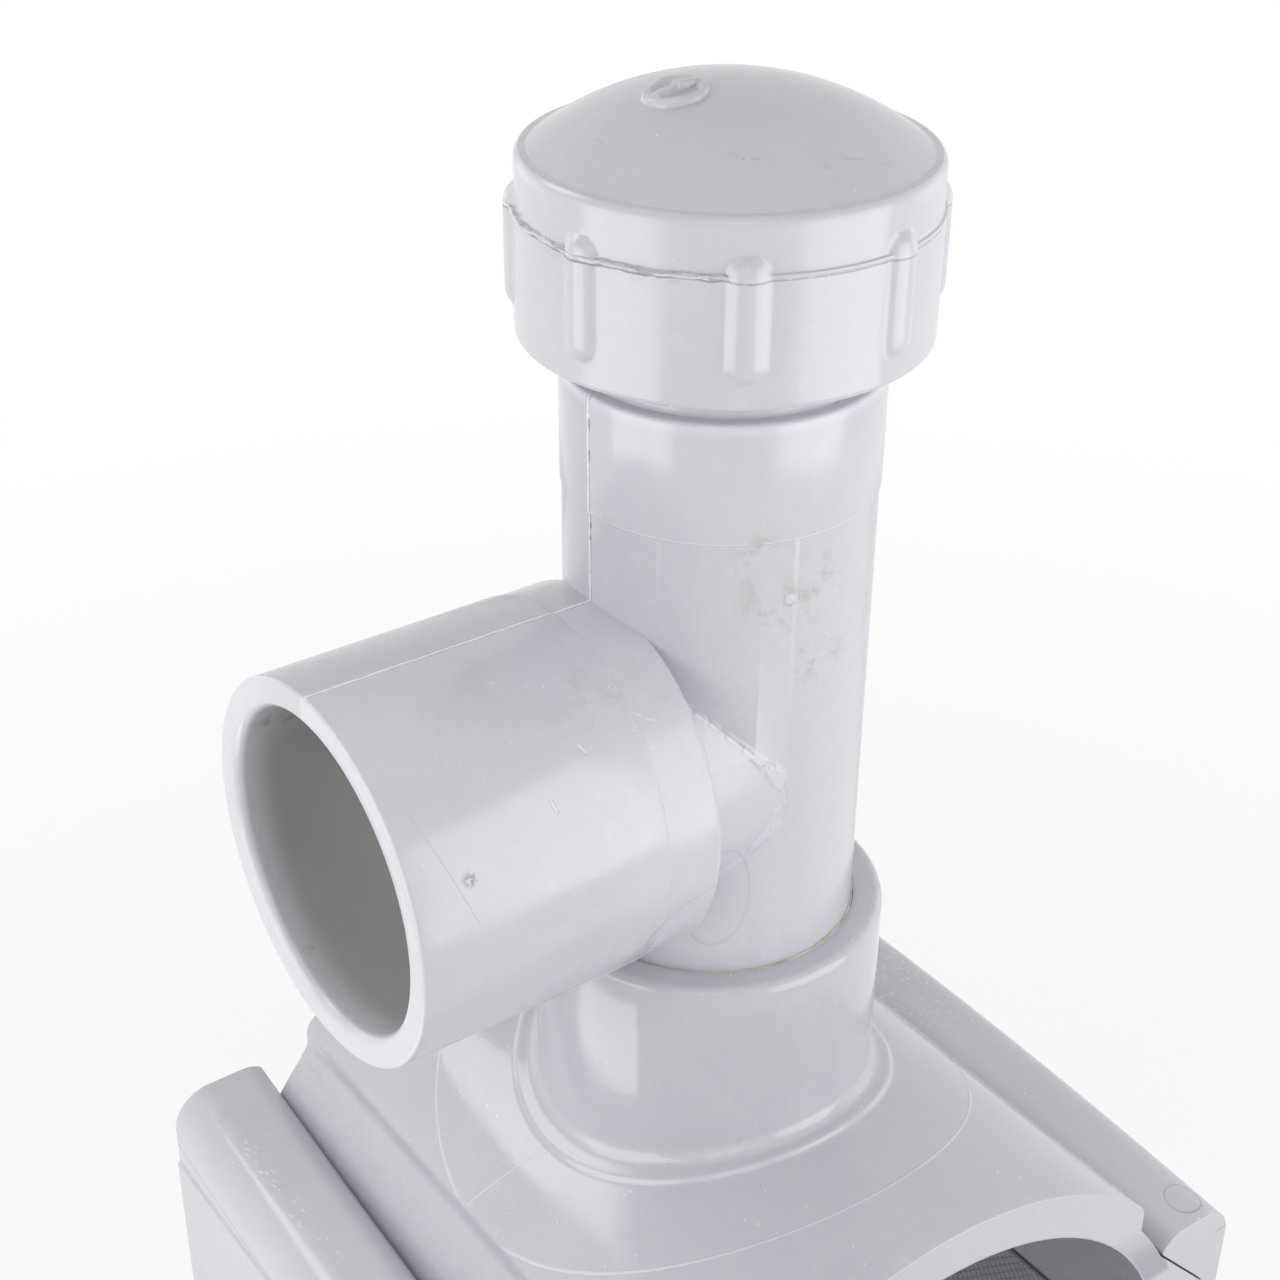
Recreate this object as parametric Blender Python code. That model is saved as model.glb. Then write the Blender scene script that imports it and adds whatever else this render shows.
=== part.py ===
"""Tapping saddle for a plastic main pipe, with a side outlet, a screw cap and a cutter inside.

Frame, in metres: the origin lies on the main pipe's axis, under the tee. +X runs along the main,
-Y is the way the outlet socket looks, and +Z goes up the tee.
"""

import math

import bmesh
import bpy
from mathutils import Matrix, Vector

# Clearances
SEAT_GAP = 0.0003
THREAD_GAP = 0.0004
PARTING_HALF_GAP = 0.0003

# Saddle halves, cut square at both ends
MAIN_PIPE_RADIUS = 0.05715
PIPE_CLEARANCE = 0.00025
SADDLE_LENGTH = 0.1196
SHELL_WALL = 0.0051
CROWN_WALL = 0.0084
CROWN_EDGE_ANGLE = math.radians(39.25)
CROWN_CORNER = 0.0035

# Sloped flanges that the clamp rails pull together. They narrow towards the near end (+X)
FLANGE_STAND_OUT = 0.0052
FLANGE_SLOPE = math.radians(47.0)
FLANGE_SLOPE_DEPTH = 0.00208
WEDGE_RISE = 0.0044
WEDGE_TOE_IN = 0.00235

# Clamp rails
RAIL_OVERHANG = 0.0072
RAIL_WEB = 0.0046
RAIL_TOP_ABOVE_LIP = 0.0032
RAIL_INNER_ROUND = 0.0057
RAIL_INNER_ROUND_SET_IN = 0.0050
RAIL_OUTER_ROUND = 0.0074
RAIL_LIP_NOSE = 0.0004
RAIL_BOW = 0.0010
RAIL_PANEL_BELOW_TOP = 0.0061
RAIL_PANEL_STEP = 0.0005

# Collar on the crown, with the socket that the tee is cemented into
COLLAR_WALL = 0.00485
COLLAR_HEIGHT = 0.0320
COLLAR_EDGE = 0.0016
COLLAR_FOOT = 0.0030
TEE_SEAT_ABOVE_CROWN = 0.0042
TAP_HOLE_CLEARANCE = 0.0004

# Seal ring in the bore, round the tapping hole
SEAL_SET_OUT = 0.0022
SEAL_WIDTH = 0.0042
SEAL_THICKNESS = 0.0028
SEAL_STAND_OUT = 0.0001

# Tee body
TUBE_RADIUS = 0.02325
TUBE_HEAD_STEP = 0.00025
TUBE_HEAD_LENGTH = 0.0181
TUBE_RING_ABOVE_SOCKET = 0.0140
TUBE_EDGE = 0.0008
NECK_STEP = 0.00105
NECK_LENGTH = 0.0257
NECK_WALL = 0.0042

# Outlet branch and its socket
SOCKET_MOUTH_RADIUS = 0.0243
SOCKET_TAPER = 0.0003
SOCKET_WALL = 0.0048
SOCKET_STEP = 0.00025
SOCKET_DEPTH = 0.0400
SOCKET_STOP_BEYOND_TUBE = 0.00655
SOCKET_BACK_LENGTH = 0.0098
SOCKET_BACK_ROUND = 0.0014
SOCKET_LEAD_IN = 0.0016
SOCKET_LEAD_IN_DEPTH = 0.00145
SOCKET_ABOVE_COLLAR = 0.0020
HUB_STEP = 0.00035
BRANCH_PASSAGE_STEP = 0.0010

# Cap
CAP_WALL = 0.0070
CAP_ABOVE_SHOULDER = 0.0046
CAP_SKIRT_HEIGHT = 0.0184
CAP_UPPER_INSET = 0.0003
CAP_EDGE = 0.0008
CAP_DOME_RADIUS = 0.0468
CAP_DOME_ROUND = 0.0016
CAP_SEAL_SPACE = 0.0027
CAP_HOLLOW_STEP = 0.0006
CAP_HOLLOW_DEPTH = 0.0050
CAP_ROOF = 0.0063
CAP_MOUTH_BEVEL = 0.0010
GRIP_COUNT = 8
GRIP_FIRST_ANGLE = math.radians(12.0)
GRIP_ROUND = 0.0036
GRIP_STAND_OUT = 0.0012
GRIP_ABOVE_MOUTH = 0.0038
GRIP_ABOVE_PARTING = 0.0026
GATE_OFFSET = (-0.0009, -0.0087)
GATE_RADIUS = 0.0043
GATE_HEIGHT = 0.0007
SPRUE_RADIUS = 0.0017
SPRUE_HEIGHT = 0.0016

# Cap seal
CAP_SEAL_WIDTH = 0.0034

# Cutter, drawn up above the branch
CUTTER_LENGTH = 0.0460
CUTTER_ABOVE_PASSAGE = 0.0041
CUTTER_GUIDE_GAP = 0.0005
CUTTER_SLEEVE_STEP = 0.0023
CUTTER_SLEEVE_WALL = 0.0024
CUTTER_SLEEVE_LENGTH = 0.0180
CUTTER_SLEEVE_DEPTH = 0.0250
CUTTER_EDGE_LENGTH = 0.0030
CUTTER_EDGE_LAND = 0.0003
HEX_ACROSS_FLATS = 0.0140
HEX_DEPTH = 0.0150
HEX_ANGLE = math.radians(10.0)
RING_GROOVE_DEPTH = 0.0022
RING_GROOVE_WIDTH = 0.0028
RING_GROOVE_BELOW_TOP = 0.0032

# Fineness of the round shapes
FACETS = 56
GRIP_FACETS = 16
GATE_FACETS = 24
SPRUE_FACETS = 12
ARC_STEPS = 5
EDGE_STEPS = 3
FLANK_STEPS = 3
CROWN_STEPS = 14
SHELL_STEPS = 20
BORE_STEPS = 22
DOME_STEPS = 8
RAIL_SECTIONS = 9
CREASE_ANGLE = math.radians(28.0)
CUT_BEYOND = 0.0050

# Radii that follow from the sizes above
BORE_RADIUS = MAIN_PIPE_RADIUS + PIPE_CLEARANCE
SHELL_RADIUS = BORE_RADIUS + SHELL_WALL
CROWN_RADIUS = BORE_RADIUS + CROWN_WALL
COLLAR_BORE = TUBE_RADIUS + SEAT_GAP
COLLAR_RADIUS = COLLAR_BORE + COLLAR_WALL
TUBE_HEAD_RADIUS = TUBE_RADIUS + TUBE_HEAD_STEP
NECK_RADIUS = TUBE_RADIUS - NECK_STEP
TUBE_BORE = NECK_RADIUS - NECK_WALL
TAP_HOLE_RADIUS = TUBE_BORE + TAP_HOLE_CLEARANCE
SEAL_INNER_RADIUS = TAP_HOLE_RADIUS + SEAL_SET_OUT
SOCKET_RADIUS = SOCKET_MOUTH_RADIUS + SOCKET_WALL
SOCKET_FOOT_RADIUS = SOCKET_MOUTH_RADIUS - SOCKET_TAPER
HUB_RADIUS = TUBE_RADIUS - HUB_STEP
BRANCH_PASSAGE = TUBE_BORE - BRANCH_PASSAGE_STEP
CAP_BORE = NECK_RADIUS + THREAD_GAP
CAP_RADIUS = CAP_BORE + CAP_WALL
CAP_HOLLOW_RADIUS = TUBE_BORE + CAP_HOLLOW_STEP
CUTTER_RADIUS = TUBE_BORE - CUTTER_GUIDE_GAP
CUTTER_SLEEVE_RADIUS = CUTTER_RADIUS - CUTTER_SLEEVE_STEP
CUTTER_SLEEVE_BORE = CUTTER_SLEEVE_RADIUS - CUTTER_SLEEVE_WALL

# The flange's slope is a line that passes a little under the shell's round, and its lip is
# where that line leaves the round
SADDLE_END_X = SADDLE_LENGTH / 2
FLANGE_SLOPE_REACH = SHELL_RADIUS - FLANGE_SLOPE_DEPTH
FLANGE_LIP_ANGLE = math.pi / 2 - FLANGE_SLOPE - math.acos(FLANGE_SLOPE_REACH / SHELL_RADIUS)
FLANGE_EDGE_Y = SHELL_RADIUS + FLANGE_STAND_OUT
FLANGE_EDGE_Z = FLANGE_SLOPE_REACH / math.cos(FLANGE_SLOPE) - FLANGE_EDGE_Y * math.tan(FLANGE_SLOPE)
GROOVE_WALL_GAP = SEAT_GAP / math.cos(FLANGE_SLOPE)
RAIL_FAR_X = -SADDLE_END_X - RAIL_OVERHANG
RAIL_TOP_Z = SHELL_RADIUS * math.sin(FLANGE_LIP_ANGLE) + RAIL_TOP_ABOVE_LIP
RAIL_PANEL_Z = RAIL_TOP_Z - RAIL_PANEL_BELOW_TOP

# Places along the outlet
SOCKET_STOP_Y = TUBE_RADIUS + SOCKET_STOP_BEYOND_TUBE
SOCKET_BACK_Y = SOCKET_STOP_Y - SOCKET_BACK_LENGTH
SOCKET_FACE_Y = SOCKET_STOP_Y + SOCKET_DEPTH

# Heights up the tee
TEE_SEAT_Z = CROWN_RADIUS + TEE_SEAT_ABOVE_CROWN
COLLAR_TOP = CROWN_RADIUS + COLLAR_HEIGHT
BRANCH_Z = COLLAR_TOP + SOCKET_ABOVE_COLLAR + SOCKET_RADIUS
TUBE_RING_Z = BRANCH_Z + SOCKET_RADIUS + TUBE_RING_ABOVE_SOCKET
TUBE_SHOULDER_Z = TUBE_RING_Z + TUBE_HEAD_LENGTH
NECK_TOP_Z = TUBE_SHOULDER_Z + NECK_LENGTH
CAP_BOTTOM_Z = TUBE_SHOULDER_Z + CAP_ABOVE_SHOULDER
CAP_PARTING_Z = CAP_BOTTOM_Z + CAP_SKIRT_HEIGHT
CAP_SEAT_Z = NECK_TOP_Z + CAP_SEAL_SPACE
CAP_HOLLOW_TOP_Z = CAP_SEAT_Z + CAP_HOLLOW_DEPTH
CAP_DOME_TOP_Z = CAP_HOLLOW_TOP_Z + CAP_ROOF
GRIP_BOTTOM_Z = CAP_BOTTOM_Z + GRIP_ABOVE_MOUTH
GRIP_TOP_Z = CAP_PARTING_Z + GRIP_ABOVE_PARTING
CUTTER_BOTTOM_Z = BRANCH_Z + BRANCH_PASSAGE + CUTTER_ABOVE_PASSAGE
CUTTER_TOP_Z = CUTTER_BOTTOM_Z + CUTTER_LENGTH

# Gaps that follow
SEAL_GROOVE_DEPTH = SEAL_THICKNESS - SEAL_STAND_OUT + SEAT_GAP


def clear_scene():
    for old in list(bpy.data.objects):
        bpy.data.objects.remove(old, do_unlink=True)


def plastic(name, colour, roughness, metallic=0.0):
    material = bpy.data.materials.new(name)
    material.use_nodes = True
    shader = material.node_tree.nodes["Principled BSDF"]
    shader.inputs["Base Color"].default_value = (*colour, 1.0)
    shader.inputs["Roughness"].default_value = roughness
    shader.inputs["Metallic"].default_value = metallic
    return material


def arc(centre, radius, start, end, steps=ARC_STEPS):
    """Points on a round from one angle to another, ends included, in a flat profile."""
    angles = [start + (end - start) * i / steps for i in range(steps + 1)]
    return [(centre[0] + radius * math.cos(a), centre[1] + radius * math.sin(a)) for a in angles]


def finish(name, shape, material, origin=(0.0, 0.0, 0.0)):
    """Turns a bmesh into a named object with outward faces and its origin where it is asked for."""
    bmesh.ops.remove_doubles(shape, verts=shape.verts, dist=1e-7)
    bmesh.ops.recalc_face_normals(shape, faces=shape.faces)
    bmesh.ops.translate(shape, verts=shape.verts, vec=-Vector(origin))
    mesh = bpy.data.meshes.new(name)
    shape.to_mesh(mesh)
    shape.free()
    mesh.materials.append(material)
    mesh.shade_smooth()
    mesh.set_sharp_from_angle(angle=CREASE_ANGLE)
    piece = bpy.data.objects.new(name, mesh)
    piece.location = origin
    bpy.context.collection.objects.link(piece)
    return piece


def turned(name, profile, material, origin=(0.0, 0.0, 0.0), facets=FACETS, turn=None, phase=0.0):
    """A solid of revolution about Z. The profile is a closed loop of (radius, height) points.

    A phase of a half puts the facets' edges between those of a neighbour with the same count.
    """
    shape = bmesh.new()
    rings = []
    for radius, height in profile:
        if radius < 1e-9:
            rings.append([shape.verts.new((0.0, 0.0, height))] * facets)
            continue
        angles = [2 * math.pi * (i + phase) / facets for i in range(facets)]
        spots = [(radius * math.cos(a), radius * math.sin(a), height) for a in angles]
        rings.append([shape.verts.new(spot) for spot in spots])
    for ring, other in zip(rings, rings[1:] + rings[:1]):
        for i in range(facets):
            j = (i + 1) % facets
            corners = []
            for corner in (ring[i], ring[j], other[j], other[i]):
                if corner not in corners:
                    corners.append(corner)
            if len(corners) > 2:
                shape.faces.new(corners)
    if turn:
        bmesh.ops.transform(shape, matrix=turn, verts=shape.verts)
    return finish(name, shape, material, origin)


def lofted(name, sections, material, origin=(0.0, 0.0, 0.0), closed=False):
    """A skin over sections with equal point counts, with flat ends or joined into a ring."""
    shape = bmesh.new()
    loops = [[shape.verts.new(point) for point in section] for section in sections]
    followers = loops[1:] + (loops[:1] if closed else [])
    for loop, other in zip(loops, followers):
        for i in range(len(loop)):
            j = (i + 1) % len(loop)
            shape.faces.new((loop[i], loop[j], other[j], other[i]))
    if not closed:
        shape.faces.new(loops[0])
        shape.faces.new(loops[-1])
    return finish(name, shape, material, origin)


def combine(piece, tool, operation):
    """Adds or cuts a helper shape with a Boolean, and keeps the helper out of sight."""
    tool.hide_render = True
    tool.display_type = "WIRE"
    step = piece.modifiers.new(tool.name, "BOOLEAN")
    step.operation = operation
    step.solver = "EXACT"
    step.object = tool


def mirrored_in_z(points):
    return [(y, -z) for y, z in reversed(points)]


# Saddle halves

def wedge_share(x):
    """0 at the near end of the saddle and 1 at its far end, along the flanges' taper."""
    return (SADDLE_END_X - x) / SADDLE_LENGTH


def flange_edge(x):
    """Outer edge of a flange's sloped face, as (y, z)."""
    share = wedge_share(x)
    return FLANGE_EDGE_Y - WEDGE_TOE_IN * share, FLANGE_EDGE_Z + WEDGE_RISE * share


def slope_meets_round(edge, radius):
    """Where the line that climbs inwards from an edge at the flange's slope meets a round."""
    climb = math.tan(FLANGE_SLOPE)
    reach = edge[1] + edge[0] * climb
    square = 1 + climb * climb
    root = math.sqrt(reach * reach * climb * climb - square * (reach * reach - radius * radius))
    y = (reach * climb + root) / square
    return y, reach - climb * y


def half_shell_outline(x, crowned):
    """One half's section at x as (y, z) points, with its flanges, for the half above the parting."""
    edge = flange_edge(x)
    lip = slope_meets_round(edge, SHELL_RADIUS)
    outer = [(edge[0], PARTING_HALF_GAP), edge]
    lip_angle = math.atan2(lip[1], lip[0])
    if crowned:
        round_y = SHELL_RADIUS * math.cos(CROWN_EDGE_ANGLE) - CROWN_CORNER
        round_z = math.sqrt((CROWN_RADIUS - CROWN_CORNER) ** 2 - round_y ** 2)
        crown_angle = math.atan2(round_z, round_y)
        outer += arc((0, 0), SHELL_RADIUS, lip_angle, CROWN_EDGE_ANGLE, FLANK_STEPS)
        outer += arc((round_y, round_z), CROWN_CORNER, 0.0, crown_angle)
        outer += arc((0, 0), CROWN_RADIUS, crown_angle, math.pi / 2, CROWN_STEPS)[1:]
    else:
        outer += arc((0, 0), SHELL_RADIUS, lip_angle, math.pi / 2, SHELL_STEPS)
    bore_angle = math.asin(PARTING_HALF_GAP / BORE_RADIUS)
    inner = arc((0, 0), BORE_RADIUS, math.pi / 2, bore_angle, BORE_STEPS)
    left_outer = [(-y, z) for y, z in reversed(outer[:-1])]
    left_inner = [(-y, z) for y, z in reversed(inner[1:])]
    return outer + left_outer + left_inner + inner


def half_shell(name, crowned, material):
    side = 1 if crowned else -1
    ends = (SADDLE_END_X, -SADDLE_END_X)
    sections = [[(x, y, side * z) for y, z in half_shell_outline(x, crowned)] for x in ends]
    return lofted(name, sections, material)


def crown_height(angle, radius, round_radius):
    """Height of a round about the main axis, at a place given about the tee's axis."""
    return math.sqrt(round_radius ** 2 - (radius * math.sin(angle)) ** 2)


def collar_on_crown(material):
    """The collar, whose foot is a fillet that follows the crown round."""
    foot_radius = COLLAR_RADIUS + COLLAR_FOOT
    foot = arc((foot_radius, COLLAR_FOOT), COLLAR_FOOT, 1.5 * math.pi, math.pi)
    top_centre = (COLLAR_RADIUS - COLLAR_EDGE, COLLAR_TOP - COLLAR_EDGE)
    crown = CROWN_RADIUS - SEAT_GAP
    sunk = BORE_RADIUS + CROWN_WALL / 2
    inside = COLLAR_BORE - COLLAR_EDGE
    sections = []
    for i in range(FACETS):
        angle = 2 * math.pi * (i + 0.5) / FACETS
        profile = [(r, crown_height(angle, r, crown) + z) for r, z in foot]
        profile += arc(top_centre, COLLAR_EDGE, 0.0, math.pi / 2, EDGE_STEPS)
        profile.append((inside, COLLAR_TOP))
        profile.append((inside, crown_height(angle, inside, sunk)))
        profile.append((foot_radius, crown_height(angle, foot_radius, sunk)))
        sections.append([(r * math.cos(angle), r * math.sin(angle), z) for r, z in profile])
    return lofted("collar_shape", sections, material, closed=True)


def bore_ring(name, inner, outer, near_radius, far_radius, material):
    """A ring round the tapping hole that follows the main bore, between two radii of the main."""
    sections = []
    for i in range(FACETS):
        angle = 2 * math.pi * (i + 0.5) / FACETS
        corners = ((inner, near_radius), (outer, near_radius), (outer, far_radius), (inner, far_radius))
        points = [(r, crown_height(angle, r, main)) for r, main in corners]
        sections.append([(r * math.cos(angle), r * math.sin(angle), z) for r, z in points])
    return lofted(name, sections, material, closed=True)


def build_saddle(grey):
    upper = half_shell("saddle_upper", True, grey)
    combine(upper, collar_on_crown(grey), "UNION")
    above = COLLAR_TOP + CUT_BEYOND
    seat = [(0, TEE_SEAT_Z), (COLLAR_BORE, TEE_SEAT_Z), (COLLAR_BORE, above), (0, above)]
    combine(upper, turned("tee_seat_cutter", seat, grey, phase=0.25), "DIFFERENCE")
    low = BORE_RADIUS - 3 * CUT_BEYOND
    hole = [(0, low), (TAP_HOLE_RADIUS, low), (TAP_HOLE_RADIUS, COLLAR_TOP), (0, COLLAR_TOP)]
    combine(upper, turned("tap_hole_cutter", hole, grey, phase=0.75), "DIFFERENCE")
    groove = bore_ring(
        "seal_groove_cutter",
        SEAL_INNER_RADIUS - SEAT_GAP,
        SEAL_INNER_RADIUS + SEAL_WIDTH + SEAT_GAP,
        BORE_RADIUS - SEAL_THICKNESS,
        BORE_RADIUS + SEAL_GROOVE_DEPTH,
        grey,
    )
    combine(upper, groove, "DIFFERENCE")
    half_shell("saddle_lower", False, grey)


def build_saddle_seal(rubber):
    bore_ring(
        "saddle_seal",
        SEAL_INNER_RADIUS,
        SEAL_INNER_RADIUS + SEAL_WIDTH,
        BORE_RADIUS - SEAL_STAND_OUT,
        BORE_RADIUS - SEAL_STAND_OUT + SEAL_THICKNESS,
        rubber,
    )


# Clamp rails

def rail_outline(x):
    """Section of the right-hand rail at x: a channel whose sloped walls grip both flanges."""
    share = wedge_share(x)
    middle = (SADDLE_END_X + RAIL_FAR_X) / 2
    bow = RAIL_BOW * (1 - ((x - middle) / (SADDLE_END_X - middle)) ** 2)
    edge_y, edge_z = flange_edge(x)
    bottom_y = edge_y + SEAT_GAP
    wall_foot = (bottom_y, edge_z + GROOVE_WALL_GAP - SEAT_GAP * math.tan(FLANGE_SLOPE))
    face_y = bottom_y + RAIL_WEB + bow
    top_z = RAIL_TOP_Z + WEDGE_RISE * share + bow
    lip = slope_meets_round(wall_foot, SHELL_RADIUS + SEAT_GAP)
    step_in = (RAIL_LIP_NOSE * math.cos(FLANGE_SLOPE), RAIL_LIP_NOSE * math.sin(FLANGE_SLOPE))
    under_lip = (lip[0] + step_in[0], lip[1] - step_in[1])
    over_lip = (lip[0] + step_in[1] / 2, lip[1] + RAIL_LIP_NOSE)
    inner_centre = (over_lip[0] + RAIL_INNER_ROUND_SET_IN, top_z - RAIL_INNER_ROUND)
    outer_centre = (face_y - RAIL_OUTER_ROUND, top_z - RAIL_OUTER_ROUND)
    reach = over_lip[1] - inner_centre[1]
    first = math.pi - math.asin(min(max(reach / RAIL_INNER_ROUND, -1.0), 1.0))
    panel_z = min(RAIL_PANEL_Z, outer_centre[1])
    upper = [wall_foot, under_lip]
    upper += arc(inner_centre, RAIL_INNER_ROUND, first, math.pi / 2)
    upper += arc(outer_centre, RAIL_OUTER_ROUND, math.pi / 2, 0.0)
    upper.append((face_y, panel_z - RAIL_PANEL_STEP / 2))
    upper.append((face_y + RAIL_PANEL_STEP, panel_z - RAIL_PANEL_STEP))
    return upper + mirrored_in_z(upper)


def build_rail(name, side, grey):
    """side is 1 for the rail away from the outlet and -1 for the one under it."""
    step = (SADDLE_END_X - RAIL_FAR_X) / (RAIL_SECTIONS - 1)
    places = [SADDLE_END_X - step * i for i in range(RAIL_SECTIONS)]
    sections = [[(x, side * y, z) for y, z in rail_outline(x)] for x in places]
    lofted(name, sections, grey, origin=(0.0, side * FLANGE_EDGE_Y, 0.0))


# Tee body

def outlet_turn():
    """Turns a profile drawn up +Z so that it runs along -Y at the branch's height."""
    return Matrix.Translation((0.0, 0.0, BRANCH_Z)) @ Matrix.Rotation(math.radians(90), 4, "X")


def build_tee(white):
    foot = TEE_SEAT_Z + SEAT_GAP
    shoulder = (TUBE_HEAD_RADIUS - TUBE_EDGE, TUBE_SHOULDER_Z - TUBE_EDGE)
    profile = [(0, foot), (TUBE_RADIUS, foot), (TUBE_RADIUS, TUBE_RING_Z)]
    profile += [(TUBE_HEAD_RADIUS, TUBE_RING_Z + (TUBE_HEAD_RADIUS - TUBE_RADIUS))]
    profile += arc(shoulder, TUBE_EDGE, 0.0, math.pi / 2, EDGE_STEPS)
    profile += [(NECK_RADIUS, TUBE_SHOULDER_Z), (NECK_RADIUS, NECK_TOP_Z - TUBE_EDGE)]
    profile += [(NECK_RADIUS - TUBE_EDGE, NECK_TOP_Z), (0, NECK_TOP_Z)]
    tee = turned("tee_body", profile, white)

    rear_radius = SOCKET_RADIUS - SOCKET_STEP
    back_round = (rear_radius - SOCKET_BACK_ROUND, SOCKET_BACK_Y + SOCKET_BACK_ROUND)
    socket = [(0, SOCKET_BACK_Y)]
    socket += arc(back_round, SOCKET_BACK_ROUND, -math.pi / 2, 0.0, EDGE_STEPS)
    socket += [(rear_radius, SOCKET_STOP_Y), (SOCKET_RADIUS, SOCKET_STOP_Y + SOCKET_STEP)]
    socket += [(SOCKET_RADIUS, SOCKET_FACE_Y - SOCKET_STEP)]
    socket += [(SOCKET_RADIUS - SOCKET_STEP, SOCKET_FACE_Y), (0, SOCKET_FACE_Y)]
    hub_end = (SOCKET_BACK_Y + SOCKET_STOP_Y) / 2
    hub = [(0, 0), (HUB_RADIUS, 0), (HUB_RADIUS, hub_end), (0, hub_end)]
    combine(tee, turned("hub_shape", hub, white, turn=outlet_turn(), phase=0.25), "UNION")
    combine(tee, turned("socket_shape", socket, white, turn=outlet_turn()), "UNION")

    lead_in = (SOCKET_MOUTH_RADIUS + SOCKET_LEAD_IN, SOCKET_FACE_Y - SOCKET_LEAD_IN_DEPTH)
    beyond = SOCKET_FACE_Y + CUT_BEYOND
    mouth = [(0, SOCKET_STOP_Y), (SOCKET_FOOT_RADIUS, SOCKET_STOP_Y)]
    mouth += arc(lead_in, SOCKET_LEAD_IN, math.pi, math.pi / 2)
    mouth += [(lead_in[0], beyond), (0, beyond)]
    passage = [(0, 0), (BRANCH_PASSAGE, 0), (BRANCH_PASSAGE, SOCKET_FACE_Y), (0, SOCKET_FACE_Y)]
    low = TEE_SEAT_Z - CUT_BEYOND
    high = NECK_TOP_Z + CUT_BEYOND
    bore = [(0, low), (TUBE_BORE, low), (TUBE_BORE, high), (0, high)]
    combine(tee, turned("mouth_cutter", mouth, white, turn=outlet_turn(), phase=0.5), "DIFFERENCE")
    combine(tee, turned("passage_cutter", passage, white, turn=outlet_turn(), phase=0.25), "DIFFERENCE")
    combine(tee, turned("bore_cutter", bore, white, phase=0.5), "DIFFERENCE")


# Cap and its seal

def grip(angle, material):
    """One upright finger grip: a rounded bar let into the cap's wall."""
    half_chord = math.sqrt(GRIP_ROUND ** 2 - (GRIP_ROUND - GRIP_STAND_OUT) ** 2)
    low = GRIP_BOTTOM_Z + half_chord
    high = GRIP_TOP_Z - half_chord
    profile = arc((0, low), GRIP_ROUND, -math.pi / 2, 0.0, EDGE_STEPS)
    profile += arc((0, high), GRIP_ROUND, 0.0, math.pi / 2, EDGE_STEPS)
    profile[0] = (0, low - GRIP_ROUND)
    profile[-1] = (0, high + GRIP_ROUND)
    inset = CAP_RADIUS - GRIP_ROUND + GRIP_STAND_OUT
    place = Matrix.Translation((inset * math.cos(angle), inset * math.sin(angle), 0.0))
    return turned("grip_shape", profile, material, facets=GRIP_FACETS, turn=place)


def dome_z(radius):
    return CAP_DOME_TOP_Z - CAP_DOME_RADIUS + math.sqrt(CAP_DOME_RADIUS ** 2 - radius ** 2)


def build_cap(white):
    wall = CAP_RADIUS - CAP_UPPER_INSET
    shoulder_r = wall - CAP_DOME_ROUND
    shoulder_z = dome_z(shoulder_r) - CAP_DOME_ROUND
    lean = math.asin(shoulder_r / CAP_DOME_RADIUS)
    skirt_round = (CAP_RADIUS - CAP_EDGE, CAP_BOTTOM_Z + CAP_EDGE)
    profile = arc(skirt_round, CAP_EDGE, -math.pi / 2, 0.0, EDGE_STEPS)
    profile += [(CAP_RADIUS, CAP_PARTING_Z), (wall, CAP_PARTING_Z + CAP_UPPER_INSET)]
    profile += arc((shoulder_r, shoulder_z), CAP_DOME_ROUND, 0.0, math.pi / 2 - lean, EDGE_STEPS)
    dome_radii = [shoulder_r * (1 - i / DOME_STEPS) for i in range(1, DOME_STEPS)]
    profile += [(r, dome_z(r)) for r in dome_radii]
    profile += [(0, CAP_DOME_TOP_Z), (0, CAP_HOLLOW_TOP_Z)]
    bend = (CAP_HOLLOW_TOP_Z - CAP_SEAT_Z) / 2
    bend_centre = (CAP_HOLLOW_RADIUS - bend, CAP_HOLLOW_TOP_Z - bend)
    profile += arc(bend_centre, bend, math.pi / 2, 0.0, EDGE_STEPS)
    profile += [(CAP_HOLLOW_RADIUS, CAP_SEAT_Z), (CAP_BORE, CAP_SEAT_Z)]
    profile += [(CAP_BORE, CAP_BOTTOM_Z + CAP_MOUTH_BEVEL), (CAP_BORE + CAP_MOUTH_BEVEL, CAP_BOTTOM_Z)]
    cap = turned("cap", profile, white)
    for i in range(GRIP_COUNT):
        combine(cap, grip(GRIP_FIRST_ANGLE + 2 * math.pi * i / GRIP_COUNT, white), "UNION")
    gate_z = dome_z(math.hypot(*GATE_OFFSET))
    gate_place = Matrix.Translation((*GATE_OFFSET, 0.0))
    sunk = gate_z - 4 * GATE_HEIGHT
    disc_top = gate_z + GATE_HEIGHT
    disc = [(0, sunk), (GATE_RADIUS, sunk), (GATE_RADIUS, gate_z)]
    disc += [(GATE_RADIUS - GATE_HEIGHT, disc_top), (0, disc_top)]
    sprue_top = gate_z + SPRUE_HEIGHT
    sprue = [(0, sunk), (SPRUE_RADIUS, sunk), (SPRUE_RADIUS, sprue_top), (0, sprue_top)]
    gate_shape = turned("gate_shape", disc, white, facets=GATE_FACETS, turn=gate_place)
    combine(cap, gate_shape, "UNION")
    sprue_shape = turned("sprue_shape", sprue, white, facets=SPRUE_FACETS, turn=gate_place)
    combine(cap, sprue_shape, "UNION")


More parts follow.
